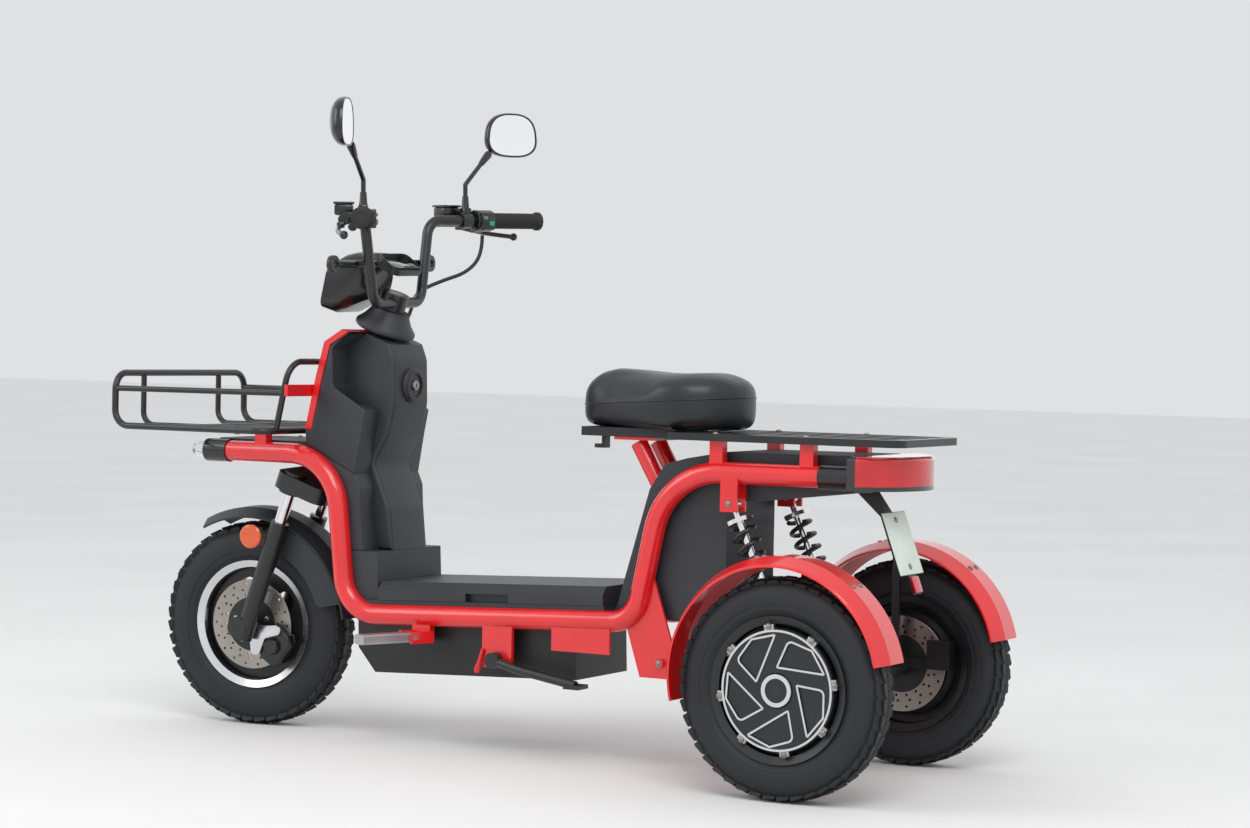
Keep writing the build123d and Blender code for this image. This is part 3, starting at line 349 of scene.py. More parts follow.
# %% [markdown]
# ## Tools for new pieces
# Each new piece starts from a primitive, is shaped in edit mode and then handed over: its place goes into
# its mesh, it gets a finish, and it rides on a body of the scooter. An operator acts on all that is
# selected, so everything is deselected first.

# %% Handing a piece over
def deselect():
    bpy.ops.object.select_all(action="DESELECT")


def activate(piece):
    deselect()
    piece.select_set(True)
    bpy.context.view_layer.objects.active = piece


def hand_over(piece, name, material, body, place=Matrix(), smooth=35):
    bpy.context.view_layer.update()
    piece.name = name
    piece.data.name = name
    piece.data.transform(place @ piece.matrix_world)
    piece.matrix_world = Matrix()
    if place.determinant() < 0:
        piece.data.flip_normals()
    piece.data.materials.clear()
    piece.data.materials.append(material)
    activate(piece)
    bpy.ops.object.shade_smooth_by_angle(angle=radians(smooth))
    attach(piece, body)
    print(name, "faces", len(piece.data.polygons), "on", body)
    return piece


# %% [markdown]
# Round parts such as tyres, grips, bolts and lamp bowls are all turned. A circle primitive gives the closed
# outline its corners, they are set to the outline's radius and height in millimetres, and spin carries it
# round the Z axis. The last ring lands on the first, so doubles are merged and the normals made to point out.

# %% Turning an outline
def turned(outline, steps=64):
    deselect()
    bpy.ops.mesh.primitive_circle_add(vertices=len(outline), radius=0.05)
    piece = bpy.context.object
    for corner, (radius, height) in zip(piece.data.vertices, outline):
        corner.co = (radius * MM, 0, height * MM)
    bpy.ops.object.mode_set(mode="EDIT")
    bpy.ops.mesh.select_all(action="SELECT")
    bpy.ops.mesh.spin(steps=steps, angle=2 * pi, center=(0, 0, 0), axis=(0, 0, 1))
    bpy.ops.mesh.select_all(action="SELECT")
    bpy.ops.mesh.remove_doubles(threshold=0.00002)
    bpy.ops.mesh.normals_make_consistent(inside=False)
    bpy.ops.object.mode_set(mode="OBJECT")
    return piece


# %% [markdown]
# Blocks such as tread, buttons and pads are cubes scaled to size, with their edges bevelled. What repeats is
# modelled once and set out by a list of places, and the copies are joined to one piece. A part that another
# body carries gets a twin, with a mesh of its own.

# %% Bevelled blocks and copies
def block(size, bevel, segments=2):
    deselect()
    bpy.ops.mesh.primitive_cube_add(size=MM)
    piece = bpy.context.object
    bpy.ops.object.mode_set(mode="EDIT")
    bpy.ops.mesh.select_all(action="SELECT")
    bpy.ops.transform.resize(value=size)
    bpy.ops.mesh.bevel(offset=bevel * MM, segments=segments, affect="EDGES")
    bpy.ops.object.mode_set(mode="OBJECT")
    return piece


def set_out(piece, places):
    joined = bmesh.new()
    for place in places:
        copy = piece.data.copy()
        copy.transform(place)
        joined.from_mesh(copy)
        bpy.data.meshes.remove(copy)
    bmesh.ops.recalc_face_normals(joined, faces=joined.faces)
    joined.to_mesh(piece.data)
    joined.free()
    return piece


def join(first, *others):
    activate(first)
    for other in others:
        other.select_set(True)
    bpy.ops.object.join()
    return first


def twin(piece):
    copy = piece.copy()
    copy.data = piece.data.copy()
    scene.collection.objects.link(copy)
    return copy


def towards(at, direction):
    return Matrix.Translation(at) @ Vector(direction).to_track_quat("Z", "Y").to_matrix().to_4x4()


# %% [markdown]
# Flat moulded pieces and plates start as an outline in side view. Each corner is given as how far ahead, how
# far up and how round it is, in millimetres. A filled circle primitive gets the outline's points, is extruded
# to its thickness, and its two rims are bevelled as a mould or a press leaves them.

# %% Outlines with rounded corners
def rounded(corners, steps=6):
    points = []
    for index, (x, z, bend) in enumerate(corners):
        here, before = Vector((x, z)), Vector(corners[index - 1][:2])
        after = Vector(corners[(index + 1) % len(corners)][:2])
        if not bend:
            points.append(here)
            continue
        back, on = (before - here).normalized(), (after - here).normalized()
        half = back.angle(on) / 2
        middle = here + (back + on).normalized() * bend / sin(half)
        start, end = here + back * bend / tan(half) - middle, here + on * bend / tan(half) - middle
        sweep = atan2(start.x * end.y - start.y * end.x, start.dot(end))
        points += [middle + Matrix.Rotation(sweep * step / steps, 2) @ start for step in range(steps + 1)]
    return points


def plate(corners, y0, y1, bevel=0, segments=3):
    points = rounded(corners)
    deselect()
    bpy.ops.mesh.primitive_circle_add(vertices=len(points), radius=0.05, fill_type="NGON")
    piece = bpy.context.object
    for corner, (x, z) in zip(piece.data.vertices, points):
        corner.co = (x * MM, y0 * MM, z * MM)
    bpy.ops.object.mode_set(mode="EDIT")
    bpy.ops.mesh.select_all(action="SELECT")
    bpy.ops.mesh.extrude_region_move(TRANSFORM_OT_translate={"value": (0, (y1 - y0) * MM, 0)})
    bpy.ops.mesh.select_all(action="SELECT")
    bpy.ops.mesh.normals_make_consistent(inside=False)
    if bevel:
        select_faces(piece, lambda face: abs(face.normal.y) > 0.9)
        bpy.ops.mesh.bevel(offset=bevel * MM, segments=segments, affect="EDGES")
    bpy.ops.object.mode_set(mode="OBJECT")
    return piece


def select_faces(piece, chosen):
    bpy.ops.mesh.select_mode(type="FACE")
    bpy.ops.mesh.select_all(action="DESELECT")
    shape = bmesh.from_edit_mesh(piece.data)
    for face in shape.faces:
        face.select_set(chosen(face))
    bmesh.update_edit_mesh(piece.data)


# %% [markdown]
# A moulded housing changes its outline from front to back. It is drawn out section by section: the face is
# extruded, and its new corners are moved to the next section. Holes and wells are cut with a cutter that is
# taken away afterwards, and a slanting end is sliced off.

# %% Drawn-out housings and cutting
def drawn_out(loops):
    deselect()
    bpy.ops.mesh.primitive_circle_add(vertices=len(loops[0]), radius=0.05, fill_type="NGON")
    piece = bpy.context.object
    for corner, at in zip(piece.data.vertices, loops[0]):
        corner.co = at
    bpy.ops.object.mode_set(mode="EDIT")
    bpy.ops.mesh.select_all(action="SELECT")
    for before, after in zip(loops, loops[1:]):
        bpy.ops.mesh.extrude_region_move()
        shape = bmesh.from_edit_mesh(piece.data)
        for corner in [vertex for vertex in shape.verts if vertex.select]:
            nearest = min(range(len(before)), key=lambda step: (corner.co - before[step]).length_squared)
            corner.co = after[nearest]
        bmesh.update_edit_mesh(piece.data)
    bpy.ops.mesh.select_all(action="SELECT")
    bpy.ops.mesh.normals_make_consistent(inside=False)
    bpy.ops.object.mode_set(mode="OBJECT")
    return piece


def carve(piece, cutter):
    cut = piece.modifiers.new("carve", "BOOLEAN")
    cut.object = cutter
    cut.operation = "DIFFERENCE"
    cut.solver = "EXACT"
    activate(piece)
    bpy.ops.object.modifier_apply(modifier="carve")
    bpy.data.objects.remove(cutter)
    return piece


def sliced(piece, at, normal, line_only=False):
    activate(piece)
    bpy.ops.object.mode_set(mode="EDIT")
    bpy.ops.mesh.select_all(action="SELECT")
    bpy.ops.mesh.bisect(plane_co=at, plane_no=normal, clear_outer=True, clear_inner=line_only,
                        use_fill=not line_only)
    bpy.ops.object.mode_set(mode="OBJECT")
    return piece


def moved(piece, place):
    piece.data.transform(place)
    return piece


def box(x0, x1, y0, y1, z0, z1, bevel):
    middle = offset((x0 + x1) / 2, (y0 + y1) / 2, (z0 + z1) / 2)
    return moved(block((x1 - x0, y1 - y0, z1 - z0), bevel), middle)


# %% [markdown]
# ## Tyres
# A scooter tyre is a carcass with a round shoulder, thin rings moulded on its sidewall and a band of rubber
# blocks round its tread. The carcass is turned from one section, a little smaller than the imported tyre, and
# the blocks then reach the tyre's real radius. Each row of blocks is set round the wheel by a loop, leaning
# on the crown and skewed the way that row is cut.

# %% Tyre carcass and tread
TYRE_HALF, WIDEST_R, TREAD_DEPTH = 41, 170, 2.2
CROWN_FLATNESS, CROWN_FALL = 2.6, 1.7
BEAD = [(30, 128), (31.5, 137), (35, 143.5), (35.8, 144.2), (37.9, 148.6), (37.6, 149.6), (39.6, 157.0),
        (40.6, 157.6), (41.2, 163.2), (40.7, 164.0)]
TREAD_ROWS = [(-30, 16, 24, 10), (-10, 16, 25, -14), (10, 16, 25, 14), (30, 16, 24, -10)]
TREAD_COUNT, BLOCK_H, BLOCK_BEVEL = 44, 2 * TREAD_DEPTH - 0.4, 0.12


def crown(radius, y):
    fall = (1 - abs(y / TYRE_HALF) ** CROWN_FLATNESS) ** (1 / CROWN_FALL)
    return WIDEST_R + (radius - TREAD_DEPTH - WIDEST_R) * fall


def tyre(name, radius, node, body, wheel):
    crossing = [TYRE_HALF * sin(radians(angle)) for angle in range(90, -91, -10)]
    section = BEAD + [(y, crown(radius, y)) for y in crossing] + [(-y, r) for y, r in reversed(BEAD)]
    carcass = turned([(r, y) for y, r in section], 96)
    tread = block((1, 1, 1), BLOCK_BEVEL, 1)
    places = []
    for y, width, length, skew in TREAD_ROWS:
        lean = atan((crown(radius, y + 1) - crown(radius, y - 1)) / 2)
        on_crown = (offset(crown(radius, y), 0, y) @ Matrix.Rotation(-lean, 4, "Y")
                    @ Matrix.Rotation(radians(skew), 4, "X") @ Matrix.Diagonal((BLOCK_H, length, width, 1)))
        for step in range(TREAD_COUNT):
            turn = 2 * pi * (step + (0.5 if y > 0 else 0)) / TREAD_COUNT
            places.append(Matrix.Rotation(turn, 4, "Z") @ on_crown)
    whole = join(carcass, set_out(tread, places))
    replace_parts(hand_over(whole, name, tyre_rubber, body, wheel @ ALONG_Y, 30), node)


tyre("tyre_rear_left", REAR_R, "rear_tyre_left", "rear_left_wheel", LEFT_WHEEL)
tyre("tyre_rear_right", REAR_R, "rear_tyre_right", "rear_right_wheel", RIGHT_WHEEL)
tyre("tyre_front", FRONT_R, "front_tyre", "front_wheel", FRONT_WHEEL)

# %% [markdown]
# ## Valves and wheel screws
# A brass valve stem leans out of each rim, and small screws hold the motor cover and the front disc. The
# stem and the screws are turned: the stem ends in a small cap, and a screw has a domed head on a flange.

# %% Valve stems
VALVE_STEM = [(0, 0), (3.4, 0), (3.4, 12), (2.6, 13), (2.6, 17), (3.2, 17.6), (3.2, 24), (2.2, 26), (0, 26)]
VALVE_R, VALVE_TURN, VALVE_LEAN = 127, radians(28.5), 0.75
for name, body, wheel, out, side in (("valve_rear_left", "rear_left_wheel", LEFT_WHEEL, 20, 1),
                                     ("valve_rear_right", "rear_right_wheel", RIGHT_WHEEL, 20, 1),
                                     ("valve_front", "front_wheel", FRONT_WHEEL, 8, -1)):
    foot = Vector((VALVE_R * cos(VALVE_TURN), side * out, VALVE_R * sin(VALVE_TURN))) * MM
    lean = Vector((-cos(VALVE_TURN), side * VALVE_LEAN, -sin(VALVE_TURN)))
    hand_over(turned(VALVE_STEM, 20), name, brass, body, wheel @ towards(foot, lean))

# %% Screws on the wheels
HEAD = [(0, 3.4), (2.6, 3.2), (4.4, 2.0), (4.8, 1.0), (6.2, 0.9), (6.4, -0.4), (0, -0.4)]
LUG_COUNT, LUG_START, COVER_SCREW_R, COVER_SCREW_Y = 8, 9, 116.5, 38.6
DISC_SCREW_COUNT, DISC_SCREW_START, DISC_SCREW_R, DISC_SCREW_Y = 5, 20, 40, 38


def screws(name, body, places):
    hand_over(set_out(turned(HEAD, 16), places), name, zinc_plate, body, smooth=30)


def round_wheel(wheel, count, start, radius, y):
    turns = [radians(start + step * 360 / count) for step in range(count)]
    return [wheel @ towards(Vector((-radius * cos(t), y, radius * sin(t))) * MM, (0, 1, 0)) for t in turns]


for side, wheel in (("left", LEFT_WHEEL), ("right", RIGHT_WHEEL)):
    screws(f"cover_screws_{side}", f"rear_{side}_wheel",
           round_wheel(wheel, LUG_COUNT, LUG_START, COVER_SCREW_R, COVER_SCREW_Y))
screws("front_disc_screws", "front_wheel",
       round_wheel(FRONT_WHEEL, DISC_SCREW_COUNT, DISC_SCREW_START, DISC_SCREW_R, DISC_SCREW_Y))

# %% [markdown]
# ## Motor covers
# The hub motors are closed by a cast cover with five swept windows round the axle. Each window has a bright
# rib round it, the edge of the cover is a bright ring, and eight lugs take the screws. The cover is turned,
# one window is drawn from its corners in radius and angle, and the five are cut and set out by a loop.

# %% Motor cover
WINDOW = [(41, 93, 3), (97, 77, 12), (105.5, 48, 0), (104, 19, 3)]
WINDOW_COUNT = 5
COVER_Y, WINDOW_FLOOR, RIB_H, RIB_W = 38, 35.7, 1.6, 3.6
RIB_FOOT = WINDOW_FLOOR - 0.4
LUG_SIZE, LUG_AT = (11, 11, 20), (-115, 33, 0)
COVER = [(32.4, 35.2), (32.4, COVER_Y), (106.6, COVER_Y), (106.6, COVER_Y + RIB_H), (110.6, COVER_Y + RIB_H),
         (111.4, COVER_Y), (113, COVER_Y - 1.6), (113, 22), (104.6, 22), (104.6, 29.6), (96.6, 35.2)]


def around(count, start=0):
    return [Matrix.Rotation(radians(start + step * 360 / count), 4, "Y") for step in range(count)]


window = [(-radius * cos(radians(angle)), radius * sin(radians(angle)), bend)
          for radius, angle, bend in WINDOW]
rib = plate(window, RIB_FOOT, COVER_Y)
activate(rib)
bpy.ops.object.mode_set(mode="EDIT")
select_faces(rib, lambda face: face.normal.y > 0.9)
bpy.ops.mesh.inset(thickness=RIB_W * MM, use_even_offset=True)
bpy.ops.mesh.extrude_region_move(TRANSFORM_OT_translate={"value": (0, (WINDOW_FLOOR - COVER_Y) * MM, 0)})
select_faces(rib, lambda face: face.normal.y > 0.9 and face.calc_center_median().y > (COVER_Y - 0.1) * MM)
bpy.ops.mesh.extrude_region_move(TRANSFORM_OT_translate={"value": (0, RIB_H * MM, 0)})
bpy.ops.object.mode_set(mode="OBJECT")
opening = set_out(plate(window, RIB_FOOT, COVER_Y + 4), around(WINDOW_COUNT))
cover_disc = carve(moved(turned(COVER, 96), ALONG_Y), opening)
cover = join(cover_disc, set_out(rib, around(WINDOW_COUNT)))
lugs = set_out(moved(block(LUG_SIZE, 1.6), offset(*LUG_AT)), around(LUG_COUNT, LUG_START))
right_cover, right_lugs = twin(cover), twin(lugs)
hand_over(cover, "motor_cover_left", motor_enamel, "rear_left_wheel", LEFT_WHEEL, 30)
hand_over(right_cover, "motor_cover_right", motor_enamel, "rear_right_wheel", RIGHT_WHEEL, 30)
hand_over(lugs, "cover_lugs_left", cast_aluminium, "rear_left_wheel", LEFT_WHEEL)
hand_over(right_lugs, "cover_lugs_right", cast_aluminium, "rear_right_wheel", RIGHT_WHEEL)

# %% [markdown]
# ## Brake discs and front caliper
# A brake disc is a ground steel ring with three rows of holes that clear water and dust. The holes are cut by
# one set of pins. The front caliper is two black halves across the disc, joined over its rim, with the
# piston housing outside and a bright bracket to the fork leg.

# %% Brake discs
DISC_R, HOLES_IN_ROW, HOLE_R = 95, 18, 2.7
FRONT_DISC_Y, REAR_DISC_Y = 34, -49
HOLE_ROWS = [(9, 0), (21, 7), (32, 3)]
DISC = [(12, 0), (DISC_R - 0.5, 0), (DISC_R, 0.5), (DISC_R, 3.5), (DISC_R - 0.5, 4), (12, 4)]
deselect()
bpy.ops.mesh.primitive_cylinder_add(vertices=12, radius=HOLE_R * MM, depth=12 * MM)
pins = bpy.context.object
pin_places = [Matrix.Rotation(radians(step * 360 / HOLES_IN_ROW + turn), 4, "Z")
              @ offset(DISC_R - inwards, 0, 0)
              for step in range(HOLES_IN_ROW) for inwards, turn in HOLE_ROWS]
disc = carve(turned(DISC, 96), set_out(pins, pin_places))
for name, node, body, wheel, y, steel in (
        ("disc_rear_left", "rear_disc_left", "rear_left_wheel", LEFT_WHEEL, REAR_DISC_Y, rear_disc_steel),
        ("disc_rear_right", "rear_disc_right", "rear_right_wheel", RIGHT_WHEEL, REAR_DISC_Y, rear_disc_steel),
        ("disc_front", "front_disc", "front_wheel", FRONT_WHEEL, FRONT_DISC_Y, front_disc_steel)):
    place = wheel @ offset(0, y, 0) @ ALONG_Y
    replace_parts(hand_over(twin(disc), name, steel, body, place, 30), node)
bpy.data.objects.remove(disc)

# %% Front caliper
CALIPER = FRONT_WHEEL @ Matrix.Rotation(radians(146), 4, "Y")
INNER_HALF, OUTER_HALF, BRACKET_Y = (17, 31.5), (40.5, 56), (57, 62.4)
CALIPER_SIDE = [(63, -38, 0), (93, -38, 0), (105, -26, 4), (105, 26, 4), (93, 38, 0), (63, 38, 0),
                (51, 26, 4), (51, -26, 4)]
PISTON = [(0, 26), (14, 26), (17, 23), (18, 20), (18, 0), (0, 0)]
BRACKET = [(-6, -17, 6), (30, -22, 8), (58, -44, 6), (74, -44, 8), (74, -30, 6), (52, -4, 8), (60, 34, 8),
           (44, 44, 8), (28, 24, 10), (-6, 17, 6)]
bridge = box(98, 106, 20, 54, -26, 26, 2)
halves = join(plate(CALIPER_SIDE, *INNER_HALF, 2), plate(CALIPER_SIDE, *OUTER_HALF, 3), bridge)
piston = moved(turned(PISTON, 32), offset(74, 42, 0) @ ALONG_Y)
caliper = hand_over(join(halves, piston), "caliper_front", black_powder_coat, "steering", CALIPER)
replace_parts(caliper, "front_caliper")
arm = carve(plate(BRACKET, *BRACKET_Y, 1), box(-14, 14, 50, 70, -14, 14, 3))
hand_over(arm, "caliper_bracket", polished_aluminium, "steering", CALIPER)

# %% [markdown]
# ## Leg shield
# The leg shield is a moulding in two depths: a narrow column that follows the rider's knees, and wider flanks
# that run into the frame tubes, with a pocket let into each. The column and the flanks are drawn in side view
# from the bend of the frame, and the top is cut square to the steering.

# %% Leg shield
NECK = spot(1112, 0, 585)
COLUMN = [(-22, -193, 0), (0, 0, 120), (110, 0, 0), (78, 50, 0), (63, 50, 0), (39, 151, 0), (19, 225, 18),
          (-28, 254, 0), (-46, 266, 8), (-86, 238, 20), (-102, 199, 40), (-105, 105, 80), (-89, 41, 60),
          (-56, -15, 30), (-97, -107, 60), (-107, -193, 0)]
FLANK_LOW = [(-22, -193, 0), (0, 0, 120), (110, 0, 0), (75, 19, 0), (-48, -38, 0), (-60, -65, 20),
             (-62, -106, 30), (-71, -193, 0)]
FLANK_HIGH = [(75, 19, 0), (78, 50, 0), (63, 50, 0), (39, 151, 0), (19, 225, 16), (-28, 254, 0),
              (-50, 262, 0), (-46, 256, 0), (-20, 244, 0), (14, 220, 12), (12, 141, 12), (-71, 93, 4),
              (-60, 36, 30), (-48, -38, 0)]
POCKET = [(2, 175, 0), (2, 83, 8), (-51, 83, 8), (-51, 175, 0)]
LOCK_BOSS = [(0, 0), (36, 0), (36, 13), (33, 16), (0, 16)]
COLUMN_HALF, FLANK_HALF, TOP_CUT = 66, 119, 0.0425
POCKET_NEAR, POCKET_FAR = COLUMN_HALF + 11, FLANK_HALF - 3

column = plate(COLUMN, -COLUMN_HALF, COLUMN_HALF, 9, 4)
flanks = plate(FLANK_HIGH, -FLANK_HALF - 1, FLANK_HALF + 1, 2.5)
for y0, y1 in ((POCKET_NEAR, POCKET_FAR), (-POCKET_FAR, -POCKET_NEAR)):
    flanks = carve(flanks, plate(POCKET, y0, y1))
boss = moved(turned(LOCK_BOSS, 64), towards(Vector((-95, 0, 145)) * MM, (-1, 0, 0)))
shield = join(column, flanks, plate(FLANK_LOW, -FLANK_HALF, FLANK_HALF, 2.5), boss)
sliced(shield, STEER_AT - NECK - STEER_AXIS * TOP_CUT, STEER_AXIS)
hand_over(shield, "shield_moulding", grained_polypropylene, "chassis",
          Matrix.Translation(NECK), 32)
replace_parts(shield, "leg_shield")

# %% [markdown]
# ## Lamp housing, instrument pod and stem cover
# The headlamp's shell is drawn out from its flat face back over a swollen middle to a small rear. It hangs on
# a cross bar whose ends carry an eye each, and two stays clamp the bar to the risers. The instrument pod
# stands on the bar, and a flared cover closes the head of the steering.

# %% Lamp housing
LAMP = TURN @ Matrix.Translation(spot(1181, 0, 935)) @ Matrix.Rotation(radians(-12.8), 4, "Y")
LAMP_SECTIONS = [(6, 0, 137, 79, 15), (5.5, 0, 138, 80, 15), (0, 0, 140, 82, 16), (0, 0, 150, 92, 20),
                 (30, 12, 150, 124, 30), (52, 25, 147, 118, 34), (72, 34, 138, 104, 34),
                 (90, 27, 102, 66, 26)]
loops = []
for back, up, width, height, bend in LAMP_SECTIONS:
    w, h = width / 2, height / 2
    section = rounded([(w, h, bend), (-w, h, bend), (-w, -h, bend), (w, -h, bend)])
    loops.append([Vector((-back, y, up + z)) * MM for y, z in section])
shell = drawn_out(loops)
housing = hand_over(shell, "lamp_housing", gloss_abs, "steering", LAMP, 40)
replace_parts(housing, "headlamp")

# %% Lamp bar and its stays
LAMP_BAR_X, LAMP_BAR_Z, LAMP_BAR_HALF = 1082, 981, 217
ROD_HALF, EYE_Y, STAY_Y = LAMP_BAR_HALF - 16, LAMP_BAR_HALF - 6, 114
bar = turned([(0, -ROD_HALF), (8, -ROD_HALF), (8, ROD_HALF), (0, ROD_HALF)], 24)
moved(bar, Matrix.Translation(spot(LAMP_BAR_X, 0, LAMP_BAR_Z)) @ ALONG_Y)
eye = turned([(8, -6), (17, -6), (18, -4), (18, 4), (17, 6), (8, 6)], 32)
set_out(eye, [towards(spot(LAMP_BAR_X, y, LAMP_BAR_Z), (1, 0, 0)) for y in (EYE_Y, -EYE_Y)])
stays = [moved(box(1059, LAMP_BAR_X, y - 9, y + 9, 973, 989, 2), Matrix.Translation((-MID_X, 0, 0)))
         for y in (STAY_Y, -STAY_Y)]
hand_over(join(bar, eye, *stays), "lamp_bar", black_powder_coat, "steering", TURN)

# %% Instrument pod
POD = TURN @ Matrix.Translation(spot(1047.3, 0, 967)) @ Matrix.Rotation(radians(-24), 4, "Y")
UPWARDS = Matrix.Rotation(radians(90), 4, "X")
POD_OUTLINE = [(29, 61, 18), (-29, 61, 18), (-29, -61, 18), (29, -61, 18)]
POD_MOUTH = [(25.5, 57.5, 15), (-25.5, 57.5, 15), (-25.5, -57.5, 15), (25.5, -57.5, 15)]
POD_H, POD_FLOOR = 27, 13
mouth = moved(plate(POD_MOUTH, POD_FLOOR, POD_FLOOR + POD_H), UPWARDS)
pod = carve(moved(plate(POD_OUTLINE, 0, POD_H, 2.5), UPWARDS), mouth)
sliced(pod, Vector((-20, 0, 15)) * MM, (-0.28, 0, 0.96))
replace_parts(hand_over(pod, "display_pod", black_abs, "steering", POD), "instrument_pod")

# %% Stem cover
SKIRT = [(58, -37), (63, -33), (64, -29), (63, -24), (51, -11), (42, 4), (40, 12), (15.5, 12), (15.5, 6),
         (34, 4), (44, -12), (57, -27), (56, -37)]
CLAMP = [(15.5, 12.3), (28, 12.3), (28, 45), (25, 48.3), (15.5, 48.3)]
STEM_AXIS = TURN @ Matrix.Translation(STEER_AT) @ Matrix.Rotation(-CASTER, 4, "Y")
hand_over(turned(CLAMP, 48), "bar_clamp", black_powder_coat, "steering", STEM_AXIS)
flare = hand_over(turned(SKIRT, 72), "stem_flare", grained_polypropylene, "steering",
                  STEM_AXIS)
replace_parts(flare, "stem_cover")

# %% [markdown]
# ## Mirrors
# Each mirror is a plastic bowl with the glass let into its face. A moulded neck joins it to a bent steel
# stalk, which screws into the brake perch through a boot. The bowl and the glass are turned, then pressed to
# a rounded oblong that is a little taller at one end. The stalk is a smooth curve through a few points, given
# a round section and made a mesh.

# %% Smooth lines and tubes
def smooth_line(name, points, diameter):
    line = bpy.data.curves.new(name, "CURVE")
    line.dimensions = "3D"
    spline = line.splines.new("NURBS")
    spline.points.add(len(points) - 1)
    for point, at in zip(spline.points, points):
        point.co = (*at, 1)
    spline.order_u = 3
    spline.use_endpoint_u = True
    line.bevel_depth = diameter / 2
    line.bevel_resolution = 4
    line.use_fill_caps = True
    piece = bpy.data.objects.new(name, line)
    scene.collection.objects.link(piece)
    return piece


def tube(points, diameter):
    activate(smooth_line("tube", points, diameter))
    bpy.ops.object.convert(target="MESH")
    return bpy.context.object


# %% Mirror sizes
BAR_BACK, BAR_OUT = 132, 258
LEFT_BAR = Matrix.Translation(spot(1048, 142, 1073)) @ Matrix.Rotation(atan2(BAR_BACK, BAR_OUT), 4, "Z")
STALK_D = 0.010
STALK_FOOT = (LEFT_BAR @ offset(0, 95.8, 26.3)).translation
STALK_BENDS = [spot(985, 330, 1235), spot(980, 352, 1253), spot(984, 366, 1259)]
STALK_ELBOW = Vector((*STALK_FOOT.xy, 1.150))
STALK_LINE = [STALK_FOOT, STALK_FOOT + Vector((0, 0, 0.05)), STALK_ELBOW] + STALK_BENDS
HEAD_W, HEAD_H = 148, 96
SQUARENESS, TALLER_END = 2.7, 0.1
GLASS_PART = 0.92
PANE_R = HEAD_W / 2 * GLASS_PART
BOWL_LINE = [(GLASS_PART, -5.5), (0.94, -8), (0.98, -8), (1, -5), (0.985, 3), (0.93, 9), (0.8, 15),
             (0.62, 20), (0.4, 23.5), (0.2, 25), (0, 25.4)]
PANE_LINE = [(0, -6.2), (PANE_R * 0.4, -6.6), (PANE_R * 0.99, -7.2), (PANE_R, -5), (0, -5)]
NECK_LINE = [(0, -66), (5.4, -66), (6.4, -62), (9, -34), (8, -28), (0, -28)]
BOOT_LINE = [(0, -6), (9, -6), (9, 0), (8.4, 2), (6.5, 26), (0, 26)]
mirror_head = Matrix.Translation(spot(968, 372, 1259)) @ Matrix.Rotation(radians(20), 4, "Z")
oval = Matrix.Rotation(radians(90), 4, "Y") @ Matrix.Diagonal((HEAD_H / HEAD_W, 1, 1, 1))


# %% Mirrors
def squared(piece):
    for vertex in piece.data.vertices:
        x, y = vertex.co.xy
        if x or y:
            angle = atan2(y, x)
            grow = (abs(cos(angle)) ** SQUARENESS + abs(sin(angle)) ** SQUARENESS) ** (-1 / SQUARENESS)
            vertex.co.x, vertex.co.y = x * grow, y * grow * (1 + TALLER_END * x / (HEAD_W * MM / 2))
    return piece


for side, mirror in (("left", Matrix()), ("right", OTHER_SIDE)):
    bowl = squared(turned([(0, -5)] + [(r * HEAD_W / 2, h) for r, h in BOWL_LINE], 64))
    bowl = moved(bowl, mirror_head @ oval)
    neck = moved(turned(NECK_LINE, 32), towards(STALK_BENDS[0], STALK_BENDS[0] - STALK_ELBOW))
    boot = moved(turned(BOOT_LINE, 24), Matrix.Translation(STALK_FOOT))
    head = join(bowl, neck, boot, tube(STALK_LINE, STALK_D))
    hand_over(head, f"mirror_{side}", gloss_abs, "steering", TURN @ mirror)
    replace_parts(head, "mirrors")
    pane = squared(turned(PANE_LINE, 64))
    hand_over(pane, f"mirror_pane_{side}", mirror_silver, "steering",
              TURN @ mirror @ mirror_head @ oval)
    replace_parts(pane, "mirror_glass")

# %% [markdown]
# ## Bar controls
# Inboard of each grip sits a switch pod, then the brake perch with its master cylinder and fluid tank, and a
# long curved lever with a ball at its end. They are laid out along the bar from its bend, so each size is a
# distance along the bar, ahead of it or above it.

# %% Switch pod, perch, tank and lever
POD_AT, PERCH_AT = 117, 83
LEVER_D, BALL_R = 0.010, 8.5
LEVER_LINE = [(44, PERCH_AT + 32, -15), (50, PERCH_AT + 84, -24), (44, PERCH_AT + 130, -30),
              (34, PERCH_AT + 168, -34)]
BALL = [(BALL_R * sin(radians(angle)), -BALL_R * cos(radians(angle))) for angle in range(0, 181, 20)]


def ring(radius, y0, y1, x=0, z=0, edge=2):
    line = [(0, y0), (radius - edge, y0), (radius, y0 + edge), (radius, y1 - edge), (radius - edge, y1),
            (0, y1)]
    return moved(turned(line, 40), offset(x, 0, z) @ ALONG_Y)


